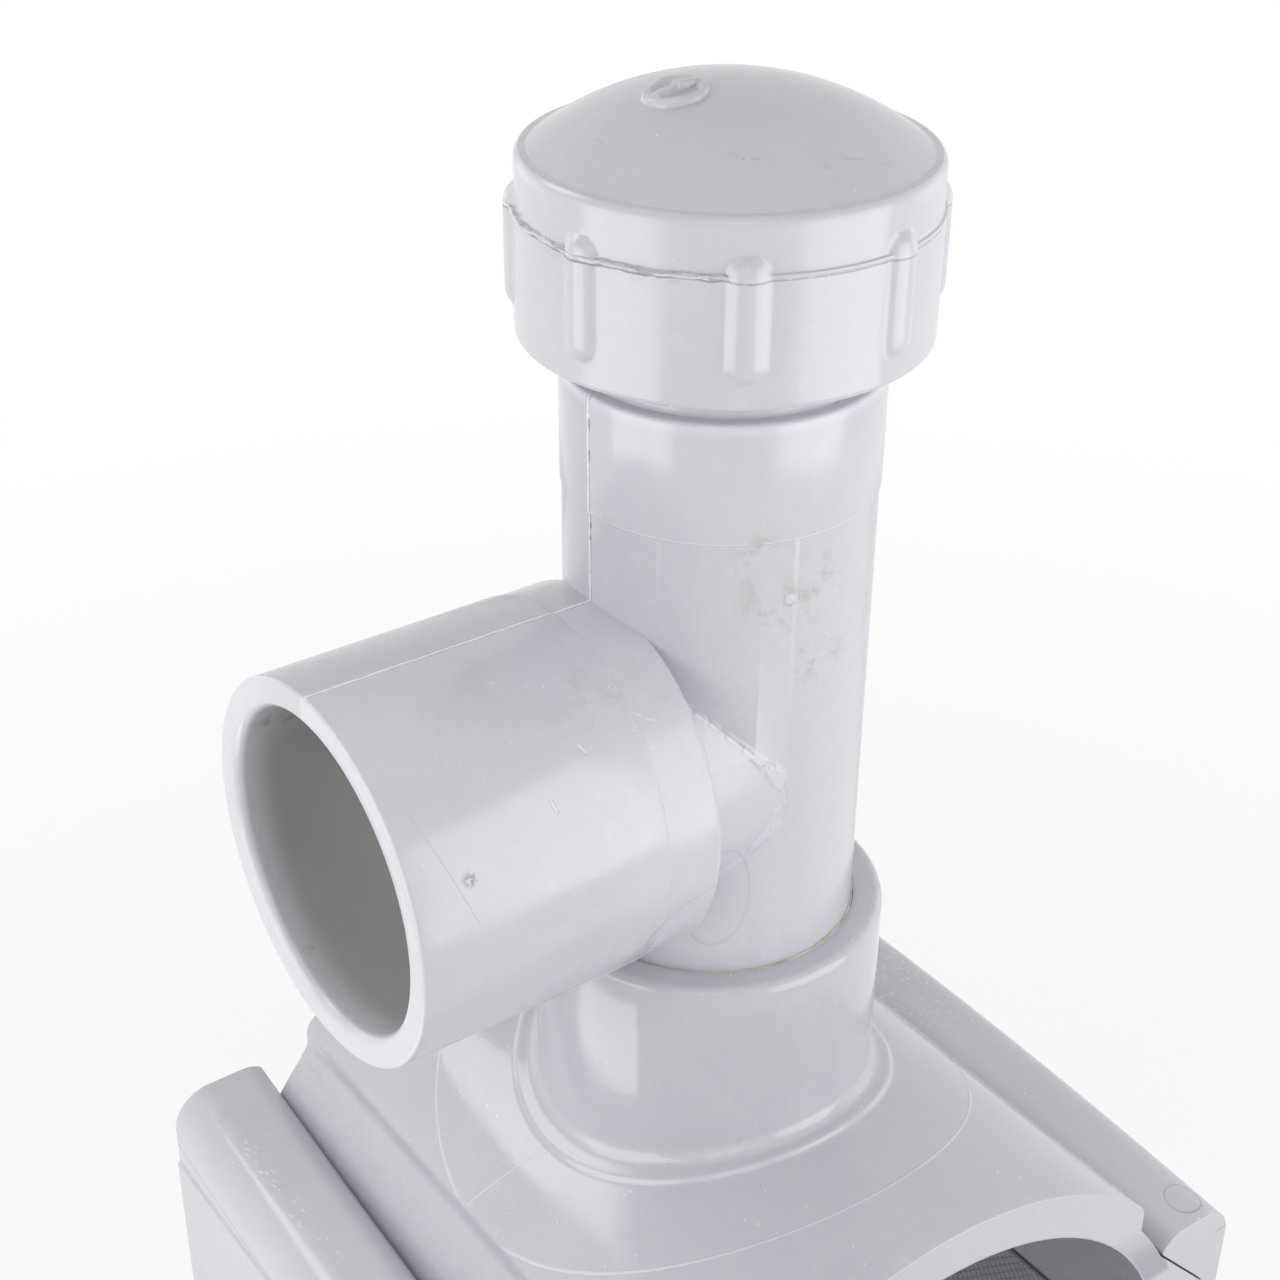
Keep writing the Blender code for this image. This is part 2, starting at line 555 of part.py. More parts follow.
def build_cap_seal(rubber):
    low = NECK_TOP_Z + SEAT_GAP
    high = CAP_SEAT_Z - SEAT_GAP
    bevel = (high - low) / 4
    outer = CAP_BORE - SEAT_GAP
    inner = outer - CAP_SEAL_WIDTH
    profile = [(inner + bevel, low), (outer - bevel, low)]
    profile += [(outer, low + bevel), (outer, high - bevel)]
    profile += [(outer - bevel, high), (inner + bevel, high)]
    profile += [(inner, high - bevel), (inner, low + bevel)]
    turned("cap_seal", profile, rubber)


# Cutter and its ring

def ring_groove():
    """Bottom, top and floor radius of the groove that holds the cutter's ring."""
    top = CUTTER_TOP_Z - RING_GROOVE_BELOW_TOP
    return top - RING_GROOVE_WIDTH, top, CUTTER_RADIUS - RING_GROOVE_DEPTH


def build_cutter(brass):
    low, high, floor = ring_groove()
    sleeve_top = CUTTER_BOTTOM_Z + CUTTER_SLEEVE_LENGTH
    bevel = CUTTER_RADIUS - CUTTER_SLEEVE_RADIUS
    edge_top = CUTTER_BOTTOM_Z + CUTTER_EDGE_LENGTH
    profile = [(CUTTER_SLEEVE_BORE, CUTTER_BOTTOM_Z)]
    profile += [(CUTTER_SLEEVE_BORE + CUTTER_EDGE_LAND, CUTTER_BOTTOM_Z)]
    profile += [(CUTTER_SLEEVE_RADIUS, edge_top), (CUTTER_SLEEVE_RADIUS, sleeve_top)]
    profile += [(CUTTER_RADIUS, sleeve_top + bevel), (CUTTER_RADIUS, low)]
    profile += [(floor, low), (floor, high)]
    profile += [(CUTTER_RADIUS, high), (CUTTER_RADIUS, CUTTER_TOP_Z - CUTTER_EDGE_LAND)]
    profile += [(CUTTER_RADIUS - CUTTER_EDGE_LAND, CUTTER_TOP_Z), (0, CUTTER_TOP_Z)]
    hollow_top = CUTTER_BOTTOM_Z + CUTTER_SLEEVE_DEPTH
    profile += [(0, hollow_top), (CUTTER_SLEEVE_BORE, hollow_top)]
    centre = (0.0, 0.0, CUTTER_BOTTOM_Z)
    cutter = turned("cutter", profile, brass, origin=centre)
    corner = HEX_ACROSS_FLATS / math.sqrt(3)
    socket = [(0, CUTTER_TOP_Z - HEX_DEPTH), (corner, CUTTER_TOP_Z - HEX_DEPTH)]
    socket += [(corner, CUTTER_TOP_Z + HEX_DEPTH), (0, CUTTER_TOP_Z + HEX_DEPTH)]
    hex_turn = Matrix.Rotation(HEX_ANGLE, 4, "Z")
    combine(cutter, turned("hex_cutter", socket, brass, facets=6, turn=hex_turn), "DIFFERENCE")


def build_cutter_ring(rubber):
    low, high, floor = ring_groove()
    inner = floor + SEAT_GAP
    outer = TUBE_BORE - SEAT_GAP
    bottom = low + SEAT_GAP
    top = high - SEAT_GAP
    bevel = (top - bottom) / 4
    profile = [(inner, bottom), (outer - bevel, bottom), (outer, bottom + bevel)]
    profile += [(outer, top - bevel), (outer - bevel, top), (inner, top)]
    turned("cutter_ring", profile, rubber)


def main():
    clear_scene()
    white = plastic("white_plastic", (0.62, 0.62, 0.66), 0.32)
    grey = plastic("light_grey_plastic", (0.50, 0.50, 0.53), 0.42)
    rubber = plastic("black_rubber", (0.02, 0.02, 0.02), 0.7)
    brass = plastic("brass", (0.72, 0.52, 0.24), 0.3, 1.0)
    build_saddle(grey)
    build_saddle_seal(rubber)
    build_rail("clamp_rail_right", 1, grey)
    build_rail("clamp_rail_left", -1, grey)
    build_tee(white)
    build_cap(white)
    build_cap_seal(rubber)
    build_cutter(brass)
    build_cutter_ring(rubber)


main()
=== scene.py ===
"""Looks of a plastic tapping saddle: its mouldings as fine surfaces, and the finishes they have.

Frame, in metres: the origin lies on the main pipe's axis, under the tee. +X runs along the main,
-Y is the way the outlet socket looks, and +Z goes up the tee.
"""

import functools
import math

import bmesh
import bpy
import numpy as np
from mathutils import Matrix, Vector


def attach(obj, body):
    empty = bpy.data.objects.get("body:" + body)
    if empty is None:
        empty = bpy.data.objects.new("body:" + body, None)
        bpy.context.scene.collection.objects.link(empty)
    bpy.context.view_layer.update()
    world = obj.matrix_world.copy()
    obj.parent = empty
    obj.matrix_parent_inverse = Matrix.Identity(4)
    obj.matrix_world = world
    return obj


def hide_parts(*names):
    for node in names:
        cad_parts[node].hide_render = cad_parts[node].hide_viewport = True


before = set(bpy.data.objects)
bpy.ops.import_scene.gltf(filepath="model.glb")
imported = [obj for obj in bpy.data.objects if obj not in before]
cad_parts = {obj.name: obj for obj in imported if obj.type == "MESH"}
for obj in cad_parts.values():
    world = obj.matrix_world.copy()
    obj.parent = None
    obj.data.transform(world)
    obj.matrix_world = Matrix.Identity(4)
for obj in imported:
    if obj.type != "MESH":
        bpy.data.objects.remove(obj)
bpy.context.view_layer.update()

FLOOR_Z = -0.0626
CREASE = math.radians(30.0)
FULL_TURN = 2 * math.pi

# Saddle halves
PARTING = 0.0003
BORE_R = 0.0574
SHELL_R = 0.0625
CROWN_R = 0.0658
SADDLE_X = 0.0598
PLAIN_SIDE = (0.0484, 0.0006)
OUTLET_SIDE = (0.0456, 0.0040)
SHOULDER_ROUND = 0.0035
CENTRE_ANGLE = math.radians(50.3)
CENTRE_STEPS = 64
END_ROUND = 0.0002
PAD_R = 0.0322
PAD_LIFT = 0.0006
COLLAR_R = 0.0284
COLLAR_TOP = 0.0978
COLLAR_ROUND = 0.0017
COLLAR_FILLET = 0.0021
COLLAR_BORE = 0.02355
COLLAR_FLOOR = 0.0700
FLOOR_R = 0.02195
HOLE_R = 0.0184
HOLE_EDGE = 0.0003
GROOVE_IN = 0.0203
GROOVE_OUT = 0.0251
GROOVE_DEPTH = 0.0030
BORE_RING_R = 0.0258

# Flanges and rails
EDGE_Y = 0.0677
EDGE_Z = 0.0160
SLOPE = math.radians(47.0)
RISE = 0.0044
TOE_IN = 0.00235
SEAT = 0.0003
RAIL_FAR_X = -0.0670
RAIL_TOP = 0.0327
RAIL_WEB = 0.0046
RAIL_BOW = 0.0010
RAIL_NOSE = 0.0005
RAIL_INNER_ROUND = 0.0057
RAIL_OUTER_ROUND = 0.0074
LEDGE_Z = 0.0268
LEDGE_STAND = 0.0005

# Tee
TUBE_R = 0.02325
TUBE_FOOT = 0.0703
TUBE_BORE = 0.0180
HEAD_R = 0.0235
HEAD_ROUND = 0.0009
RING_Z = 0.1720
SHOULDER_Z = 0.1901
NECK_R = 0.0215
NECK_TOP = 0.2158
BRANCH_Z = 0.1289
BRANCH_BORE = 0.0170
HUB_R = 0.0229
SOCKET_R = 0.0291
SOCKET_BACK = 0.0200
SOCKET_RING = 0.0298
SOCKET_FACE = 0.0698
SOCKET_LIP = 0.0005
SOCKET_BORE = 0.0243
MOUTH_ROUND = 0.0019

# Cap
CAP_R = 0.0296
CAP_BORE = 0.0226
CAP_LOW = 0.1947
CAP_LOW_ROUND = 0.0009
CAP_CEILING = 0.2185
CAP_PARTING = 0.2131
CAP_PITCH = 0.0030
CAP_COLUMNS = 480
DOME_R = 0.0468
DOME_TOP = 0.2298
DOME_ROUND = 0.0017
GRIPS = 8
GRIP_FIRST = 12.0
GRIP_R = 0.0036
GRIP_STAND = 0.0012
GRIP_LOW = 0.1985
GRIP_HIGH = 0.2157
GRIP_SOFT = 0.00009
GATE_PLACE = (-0.0009, -0.0087)
GATE_TOP = 0.230575

# Cutter and seals
CUTTER_R = 0.0168
CUTTER_HEAD_R = 0.0175
CUTTER_NOSE_R = 0.0152
CUTTER_LOW = 0.1500
CUTTER_HIGH = 0.1960
CUTTER_PITCH = 0.0040
RING_FLOOR = 0.0153
RING_LOW = 0.1900
RING_HIGH = 0.1928
KEY_R = 0.0140 / math.sqrt(3)
SEAL_R = 0.0227
SEAL_HALF_WIDTH = 0.0021
SEAL_HALF_HEIGHT = 0.0014

# Camera
LENS, SENSOR = 61.0, 36.0
CAMERA_PLACE = (0.2234, -0.1778, 0.3115)
CAMERA_LOOKS = (-0.69488, 0.50876, -0.50816)
CAMERA_ROLL = math.radians(0.557)

# Finishes and room
PLASTIC_INDEX = 1.58
LINE_CORE = 0.3
WHITE = (0.605, 0.605, 0.652)
GREY = (0.545, 0.55, 0.588)
DIRT = (0.46, 0.42, 0.32)
# Painted shade deep inside the socket
SHADED_BORE = (0.30, 0.315, 0.295)
# Painted shade along the parting between the saddle's halves
PARTING_SHADE = (0.10, 0.10, 0.11)
ROOM_LEVEL = 0.45
FLOOR_WHITE_NEAR = 0.84
FLOOR_HALF_WIDTH = 3.0


# Surfaces on grids of points

def grid_faces(rows, columns, wrap_rows=False, wrap_columns=False):
    """Four-sided faces between the neighbours of a grid whose points are numbered row by row."""
    r = np.arange(rows if wrap_rows else rows - 1)[:, None]
    c = np.arange(columns if wrap_columns else columns - 1)[None, :]
    below, beside = (r + 1) % rows, (c + 1) % columns
    corners = (r * columns + c, r * columns + beside, below * columns + beside, below * columns + c)
    return np.stack(np.broadcast_arrays(*corners), axis=-1).reshape(-1, 4)


def sheet(points):
    return points, False, False, ()


def sleeve(points, *lids):
    return points, False, True, lids


def hoop(points):
    return points, True, True, ()


def welded(name, grids):
    """One mesh from several grids of points, joined where their points meet, with faces outwards.

    Each grid is (points, wraps down, wraps across, flat lids), where the lids close the first and
    last row with one flat face each.
    """
    points, faces, count = [], [], 0
    for spots, wrap_rows, wrap_columns, lids in grids:
        rows, columns = spots.shape[:2]
        points.append(spots.reshape(-1, 3))
        faces += (grid_faces(rows, columns, wrap_rows, wrap_columns) + count).tolist()
        for lid in lids:
            first = count + (lid % rows) * columns
            faces.append(list(range(first, first + columns)))
        count += rows * columns
    mesh = bpy.data.meshes.new(name)
    mesh.from_pydata(np.concatenate(points).tolist(), [], faces)
    shape = bmesh.new()
    shape.from_mesh(mesh)
    bmesh.ops.remove_doubles(shape, verts=shape.verts, dist=2e-6)
    bmesh.ops.dissolve_degenerate(shape, edges=shape.edges, dist=1e-7)
    bmesh.ops.recalc_face_normals(shape, faces=shape.faces)
    shape.to_mesh(mesh)
    shape.free()
    return smoothed(mesh)


def smoothed(mesh):
    """Smooth shading, kept sharp at creases and flat on lids, which have more than eight corners."""
    mesh.shade_smooth()
    mesh.set_sharp_from_angle(angle=CREASE)
    for polygon in mesh.polygons:
        if polygon.loop_total > 8:
            polygon.use_smooth = False
    return mesh


def placed(name, data):
    """A new object that shows the data, in the scene."""
    thing = bpy.data.objects.new(name, data)
    bpy.context.scene.collection.objects.link(thing)
    return thing


def shown(name, mesh, finish, body, stands_for=()):
    """Puts a finished mesh on its body, with its finish, in place of the solids it stands for."""
    piece = placed(name, mesh)
    mesh.materials.clear()
    mesh.materials.append(finish)
    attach(piece, body)
    if stands_for:
        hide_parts(*stands_for)


def round_arc(centre, radius, start, end, steps):
    """Points (a, b) on a circle from one angle in degrees to another, ends included."""
    angles = np.radians(np.linspace(start, end, steps))
    return pair(centre[0] + radius * np.cos(angles), centre[1] + radius * np.sin(angles)).tolist()


def unit(way):
    return way / np.linalg.norm(way, axis=-1, keepdims=True)


def filled_corner(before, corner, after, radius, steps):
    """The round of a corner: the circle of that radius that touches both straight sides.

    Works on arrays of (y, z) pairs, one per section, and gives steps points for each.
    """
    a, b = unit(before - corner), unit(after - corner)
    half = 0.5 * np.arccos(np.clip((a * b).sum(-1, keepdims=True), -1, 1))
    centre = corner + unit(a + b) * radius / np.sin(half)
    start = corner + a * radius / np.tan(half) - centre
    end = corner + b * radius / np.tan(half) - centre
    sweep = (math.pi - 2 * half)[:, None]
    share = np.linspace(0, 1, steps)[:, None]
    way = np.sin((1 - share) * sweep) * start[:, None] + np.sin(share * sweep) * end[:, None]
    return centre[:, None] + way / np.sin(sweep)


def straight(start, end, steps):
    """Points between two places, the places themselves left out."""
    share = (np.arange(1, steps + 1) / (steps + 1))[:, None]
    return start[:, None] * (1 - share) + end[:, None] * share


def linked(*parts):
    """Runs of points, and between each two so many points on the straight line that joins them."""
    runs = [parts[0]]
    for steps, run in zip(parts[1::2], parts[2::2]):
        runs += [straight(runs[-1][:, -1], run[:, 0], steps), run]
    return runs


def on_unit(angle):
    return np.stack([np.cos(angle), np.sin(angle)], axis=-1)


def circle_run(radius, first, last, steps, ends=False):
    """Points on a circle about the main axis between two angles from +Y, one angle per section."""
    share = np.linspace(0, 1, steps + 2)
    angle = first[:, None] * (1 - share) + last[:, None] * share
    return radius * on_unit(angle if ends else angle[:, 1:-1])


def pair(y, z):
    return np.stack(np.broadcast_arrays(y, z), axis=-1).astype(float)


def angle_of(point):
    return np.arctan2(point[..., 1], point[..., 0])


def inset(outline, depth):
    """A closed outline moved inwards along its own normals by a small depth, one per section."""
    after = np.roll(outline, -1, axis=1)
    along = unit(after - np.roll(outline, 1, axis=1))
    area = (outline[..., 0] * after[..., 1] - outline[..., 1] * after[..., 0]).sum(-1)
    normal = along[..., ::-1] * (1.0, -1.0)
    return outline - (np.sign(area) * depth)[:, None, None] * normal


def end_rounds(outline_at, near, far):
    """Sections that round a bar's two ends: each steps in by r(1 - cos a) as x runs out by r sin a."""
    angles = np.linspace(0, math.pi / 2, 5)
    run, depth = END_ROUND * np.sin(angles), END_ROUND * (1 - np.cos(angles))
    ends = []
    for place, way in ((near, 1), (far, -1)):
        x = place + way * (run - END_ROUND)
        ends.append(sleeve(to_space(x, inset(outline_at(x), depth)), -1))
    return ends


def to_space(x, outline):
    """Sections (y, z) placed at their x."""
    depth = np.broadcast_to(x[:, None, None], (*outline.shape[:2], 1))
    return np.concatenate([depth, outline], axis=-1)


def mirrored(outline):
    """The same outline on the other side of the tee, run the other way."""
    return outline[:, ::-1] * (-1.0, 1.0)


def bar_mesh(name, outline_at, far, stations, flip):
    """A bar with a closed section and rounded ends, its points multiplied by flip."""
    along = np.linspace(SADDLE_X - END_ROUND, far + END_ROUND, stations)
    grids = [sleeve(to_space(along, outline_at(along)))] + end_rounds(outline_at, SADDLE_X, far)
    return welded(name, [(points * flip, *rest) for points, *rest in grids])


# Saddle halves

def wedge_share(x):
    return (SADDLE_X - x) / (2 * SADDLE_X)


def flange_corner(x):
    share = wedge_share(x)
    return pair(EDGE_Y - TOE_IN * share, EDGE_Z + RISE * share)


def slope_meets(corner, radius):
    """Where a line that climbs inwards from a corner at the flange's slope meets a round."""
    climb = math.tan(SLOPE)
    reach = corner[:, 1] + corner[:, 0] * climb
    square = 1 + climb * climb
    root = np.sqrt((reach * climb) ** 2 - square * (reach ** 2 - radius ** 2))
    y = (reach * climb + root) / square
    return pair(y, reach - climb * y)


def flank_outline(x, crowned, side=PLAIN_SIDE):
    """One side of a half's section at each x, from the bore, round the flange, up to the crown.

    The bore, the shell and the crown are circles about the main axis, the flange's face is a line
    at its slope, and every corner is a small round. The side says where the crown's shoulder
    stands and how large the round at its foot is.
    """
    centre = CENTRE_ANGLE + 0 * x
    base = pair(np.sqrt(BORE_R ** 2 - PARTING ** 2) + 0 * x, PARTING)
    top = flange_corner(x)
    low = pair(top[:, 0], PARTING)
    lip = slope_meets(top, SHELL_R)
    inner_edge = filled_corner(base + (0.0, 0.002), base, low, 0.0003, 4)
    outer_edge = filled_corner(base, low, top, 0.0004, 5)
    top_edge = filled_corner(low, top, lip, 0.0006, 6)
    lip_round = filled_corner(top, lip, SHELL_R * on_unit(angle_of(lip) + 0.02), 0.0009, 5)
    runs = [circle_run(BORE_R, centre, angle_of(inner_edge[:, 0]), 20, ends=True)[:, :-1]]
    runs += linked(inner_edge, 3, outer_edge, 4, top_edge, 4, lip_round)
    first = angle_of(lip_round[:, -1])
    if not crowned:
        runs += [circle_run(SHELL_R, first, centre, 22, ends=True)[:, 1:]]
        return np.concatenate(runs, axis=1)
    shoulder_y, foot_size = side
    foot = pair(shoulder_y + 0 * x, math.sqrt(SHELL_R ** 2 - shoulder_y ** 2))
    foot_round = filled_corner(foot + (0.0015, -0.0012), foot, foot + (0.0, 0.002), foot_size, 7)
    middle_y = shoulder_y - SHOULDER_ROUND
    middle_z = math.sqrt((CROWN_R - SHOULDER_ROUND) ** 2 - middle_y ** 2)
    lean = math.atan2(middle_z, middle_y)
    shoulder = round_arc((middle_y, middle_z), SHOULDER_ROUND, 0.0, math.degrees(lean), 10)
    shoulder = np.broadcast_to(shoulder, (len(x), 10, 2))
    runs += [circle_run(SHELL_R, first, angle_of(foot_round[:, 0]), 12)]
    runs += linked(foot_round, 2, shoulder)
    runs += [circle_run(CROWN_R, lean + 0 * x, centre, 6, ends=True)[:, 1:]]
    return np.concatenate(runs, axis=1)


def half_outline(x, crowned):
    """A half's whole closed section at each x: both flanks, and the runs over the middle."""
    flank, other = flank_outline(x, crowned), flank_outline(x, crowned, OUTLET_SIDE)
    first, last = CENTRE_ANGLE + 0 * x, math.pi - CENTRE_ANGLE + 0 * x
    over = circle_run(CROWN_R if crowned else SHELL_R, first, last, CENTRE_STEPS - 1)
    under = circle_run(BORE_R, last, first, CENTRE_STEPS - 1)
    return np.concatenate([flank, over, mirrored(other), under], axis=1)


def edge_of_middle(radius):
    """The edge of the saddle's middle on a round about the main, as a ring of (x, y) points."""
    reach = SADDLE_X - END_ROUND
    along = np.linspace(-reach, reach, CENTRE_STEPS + 1)
    lean = np.linspace(CENTRE_ANGLE, math.pi - CENTRE_ANGLE, CENTRE_STEPS + 1)
    side = radius * math.cos(CENTRE_ANGLE)
    runs = [pair(along, side), pair(reach, radius * np.cos(lean))]
    runs += [pair(along[::-1], -side), pair(-reach, radius * np.cos(lean[::-1]))]
    return np.concatenate([run[:-1] for run in runs])


def ring_round_collar():
    """The crown with its collar, tapping hole and seal groove, as one grid round the tee's axis.

    A column is a ray from the tee's axis to a point on the edge of the saddle's middle. Down a
    column the rows run over the crown, up the pad and the collar, back down inside it, through
    the hole, and out along the bore. On a round about the main, z is the root of R^2 - y^2.
    """
    crown_edge, bore_edge = edge_of_middle(CROWN_R), edge_of_middle(BORE_R)
    direction = unit(crown_edge)
    rows = []

    def lay(plan, height):
        rows.append(np.concatenate([plan, height[:, None]], axis=-1))

    def on_round(plan, radius, lift=0.0):
        lay(plan, np.sqrt(radius ** 2 - plan[:, 1] ** 2) + lift)

    for share in np.linspace(1, 0, 16) ** 1.3:
        on_round(direction * (PAD_R + 0.0007) * (1 - share) + crown_edge * share, CROWN_R)
    fillet_r = COLLAR_R + COLLAR_FILLET
    skirt = [(PAD_R + 0.0004, 0.00006), (PAD_R + 0.0002, 0.00020), (PAD_R, 0.00042)]
    skirt += [(PAD_R - 0.00015, 0.00054), (PAD_R - 0.0004, PAD_LIFT), (PAD_R - 0.0008, PAD_LIFT)]
    skirt += [(fillet_r + 0.0002, PAD_LIFT)]
    skirt += round_arc((fillet_r, PAD_LIFT + COLLAR_FILLET), COLLAR_FILLET, -90, -180, 9)
    for radius, lift in skirt:
        on_round(direction * radius, CROWN_R, lift)
    start, end = rows[-1][:, 2], COLLAR_TOP - COLLAR_ROUND
    for share in np.linspace(0, 1, 8)[1:]:
        lay(direction * COLLAR_R, start * (1 - share) + end * share)
    level = round_arc((COLLAR_R - COLLAR_ROUND, end), COLLAR_ROUND, 0, 90, 8)[1:]
    level += [(0.0250, COLLAR_TOP), (0.0240, COLLAR_TOP), (0.0237, COLLAR_TOP - 0.0001)]
    level += [(COLLAR_BORE, height) for height in (COLLAR_TOP - 0.0004, 0.0850, COLLAR_FLOOR)]
    level += [(FLOOR_R, COLLAR_FLOOR)]
    for radius, height in level:
        lay(direction * radius, height + 0 * start)
    edge_r = HOLE_R + HOLE_EDGE
    through = [(radius, CROWN_R, 0.0) for radius in (FLOOR_R, 0.0200, edge_r)]
    through += [(HOLE_R, CROWN_R, -HOLE_EDGE), (HOLE_R, (CROWN_R + BORE_R) / 2, 0.0)]
    through += [(HOLE_R, BORE_R, HOLE_EDGE), (edge_r, BORE_R, 0.0)]
    through += [(GROOVE_IN, BORE_R, 0.0), (GROOVE_IN, BORE_R, GROOVE_DEPTH)]
    through += [(GROOVE_OUT, BORE_R, GROOVE_DEPTH), (GROOVE_OUT, BORE_R, 0.0)]
    through += [(BORE_RING_R, BORE_R, 0.0)]
    for radius, round_r, lift in through:
        on_round(direction * radius, round_r, lift)
    for share in np.linspace(0, 1, 12)[1:]:
        on_round(direction * BORE_RING_R * (1 - share) + bore_edge * share, BORE_R)
    return np.stack(rows)


def saddle_upper_mesh():
    """The upper half: both flanks, the middle with its collar, and a rounded end on each side."""
    along = np.linspace(-SADDLE_X + END_ROUND, SADDLE_X - END_ROUND, CENTRE_STEPS + 1)
    plain, outlet = flank_outline(along, True), mirrored(flank_outline(along, True, OUTLET_SIDE))
    grids = [sheet(to_space(along, plain)), sheet(to_space(along, outlet)), sleeve(ring_round_collar())]
    grids += end_rounds(lambda x: half_outline(x, True), SADDLE_X, -SADDLE_X)
    return welded("saddle_upper_skin", grids)


def saddle_lower_mesh():
    """The lower half: the plain outline of a half, turned upside down."""
    return bar_mesh("saddle_lower_skin", lambda x: half_outline(x, False), -SADDLE_X, 25, (1.0, 1.0, -1.0))


# Clamp rails

def rail_outline(x):
    """The closed section of the right-hand rail at each x: a channel with sloped, rounded walls."""
    middle = (SADDLE_X + RAIL_FAR_X) / 2
    bow = RAIL_BOW * (1 - ((x - middle) / (SADDLE_X - middle)) ** 2)
    corner = flange_corner(x)
    back_y = corner[:, 0] + SEAT
    foot = pair(back_y, corner[:, 1] + SEAT / math.cos(SLOPE) - SEAT * math.tan(SLOPE))
    face_y = back_y + RAIL_WEB + bow
    top_z = RAIL_TOP + RISE * wedge_share(x) + bow
    lip = slope_meets(foot, SHELL_R + SEAT)
    under = lip + (RAIL_NOSE * math.cos(SLOPE), -RAIL_NOSE * math.sin(SLOPE))
    over = lip + (RAIL_NOSE * math.sin(SLOPE) / 2, RAIL_NOSE)
    rise = over[:, 1] - (top_z - RAIL_INNER_ROUND)
    inner = pair(over[:, 0] + np.sqrt(RAIL_INNER_ROUND ** 2 - rise ** 2), top_z - RAIL_INNER_ROUND)
    outer = pair(face_y - RAIL_OUTER_ROUND, top_z - RAIL_OUTER_ROUND)
    first = (math.pi - np.arcsin(rise / RAIL_INNER_ROUND))[:, None]
    turn = first + (math.pi / 2 - first) * np.linspace(0, 1, 14)
    inner_round = inner[:, None] + RAIL_INNER_ROUND * on_unit(turn)
    inner_edge = filled_corner(under, over, inner_round[:, 1], 0.0003, 4)
    outer_round = outer[:, None] + RAIL_OUTER_ROUND * on_unit(np.linspace(math.pi / 2, 0, 16))
    panel_z = np.minimum(LEDGE_Z + 0.103 * np.minimum(x + 0.026, 0.0), outer[..., 1])
    proud = face_y + LEDGE_STAND * np.clip((0.034 - x) / 0.020, 0.05, 1.0)
    ledge_in, ledge_out = pair(face_y, panel_z - 0.0002), pair(proud, panel_z - 0.0005)
    back_middle, face_middle = pair(back_y, 0.0), pair(proud, 0.0)
    inner_corner = filled_corner(back_middle, foot, under, 0.0008, 5)
    nose_round = filled_corner(foot, under, over, 0.0003, 4)
    runs = linked(back_middle[:, None], 4, inner_corner, 6, nose_round) + [inner_edge]
    runs += linked(inner_round[:, 1:], 2, outer_round) + [straight(outer_round[:, -1], ledge_in, 1)]
    runs += [filled_corner(outer_round[:, -1], ledge_in, ledge_out, 0.0002, 4)]
    runs += [filled_corner(ledge_in, ledge_out, face_middle, 0.0003, 4)]
    runs += [straight(ledge_out - (0.0, 0.0008), face_middle, 6)]
    upper = np.concatenate(runs, axis=1)
    lower = upper[:, :0:-1] * (1.0, -1.0)
    return np.concatenate([upper, face_middle[:, None], lower], axis=1)


def rail_mesh(side):
    return bar_mesh("rail_skin", rail_outline, RAIL_FAR_X, 65, (1.0, side, 1.0))


# Round pieces

def round_tee(radius, angle, height):
    """Points round the tee's axis: x = r cos a, y = r sin a, z = height."""
    parts = np.broadcast_arrays(radius * np.cos(angle), radius * np.sin(angle), height)
    return np.stack(parts, axis=-1)


def revolved(profile, count=192, phase=0.0):
    """A profile of (radius, height) points carried round the tee's axis."""
    profile = np.asarray(profile, float)
    return round_tee(profile[:, :1], FULL_TURN * (np.arange(count) + phase) / count, profile[:, 1:])


def outlet_way(spots):
    """Turns a shape drawn up +Z so that it runs along -Y at the branch's height."""
    x, y, z = spots[..., 0], spots[..., 1], spots[..., 2]
    return np.stack([x, -z, y + BRANCH_Z], axis=-1)


def helix_ridge(root, crest, low, high, pitch, start=0.0, base=0.0011, tip=0.0004):
    """A thread's ridge: a four-cornered section carried along a helix.

    At turn t the middle's height is low + pitch t, and the section's corners are at the root
    radius, half its base away, and at the crest radius, half its tip away. The ridge grows from
    nothing and fades to nothing over a third of a turn at each end. Start is the angle in degrees
    at which the thread's middle would pass z = 0.
    """
    turns = (high - low) / pitch
    share = np.linspace(0, 1, int(turns * 120) + 1)[:, None]
    height = low + (high - low) * share
    grow = np.clip(np.minimum(share, 1 - share) * turns * 3, 0.02, 1)
    sunk = math.copysign(0.0003, crest - root)
    radii = np.array([root - sunk, root, 0.5 * (root + crest), crest])
    offs = np.array([base, base, 0.5 * (base + tip), tip]) / 2
    radii, offs = np.concatenate([radii, radii[::-1]]), np.concatenate([offs, -offs[::-1]])
    up = height + offs * (0.4 + 0.6 * grow)
    return round_tee(root + (radii - root) * grow, math.radians(start) + FULL_TURN * height / pitch, up)


def boolean_mesh(base, tools):
    """Joins and cuts closed meshes one after another, and gives the mesh that is left."""
    whole = placed("boolean_work", base)
    helpers = []
    for mesh, operation in tools:
        helpers.append(placed("boolean_tool", mesh))
        step = whole.modifiers.new("step", "BOOLEAN")
        step.operation, step.solver, step.object = operation, "EXACT", helpers[-1]
    bpy.context.view_layer.update()
    result = bpy.data.meshes.new_from_object(whole.evaluated_get(bpy.context.evaluated_depsgraph_get()))
    for used in helpers + [whole]:
        bpy.data.objects.remove(used, do_unlink=True)
    return smoothed(result)


def lathe_mesh(name, profile, turn=None, count=192, phase=0.0):
    """A closed solid of revolution whose profile starts and ends on its axis."""
    points = revolved(profile, count, phase)
    return welded(name, [sleeve(turn(points) if turn else points)])


def cylinder(radius, low, high):
    return [(0, low), (radius, low), (radius, high), (0, high)]


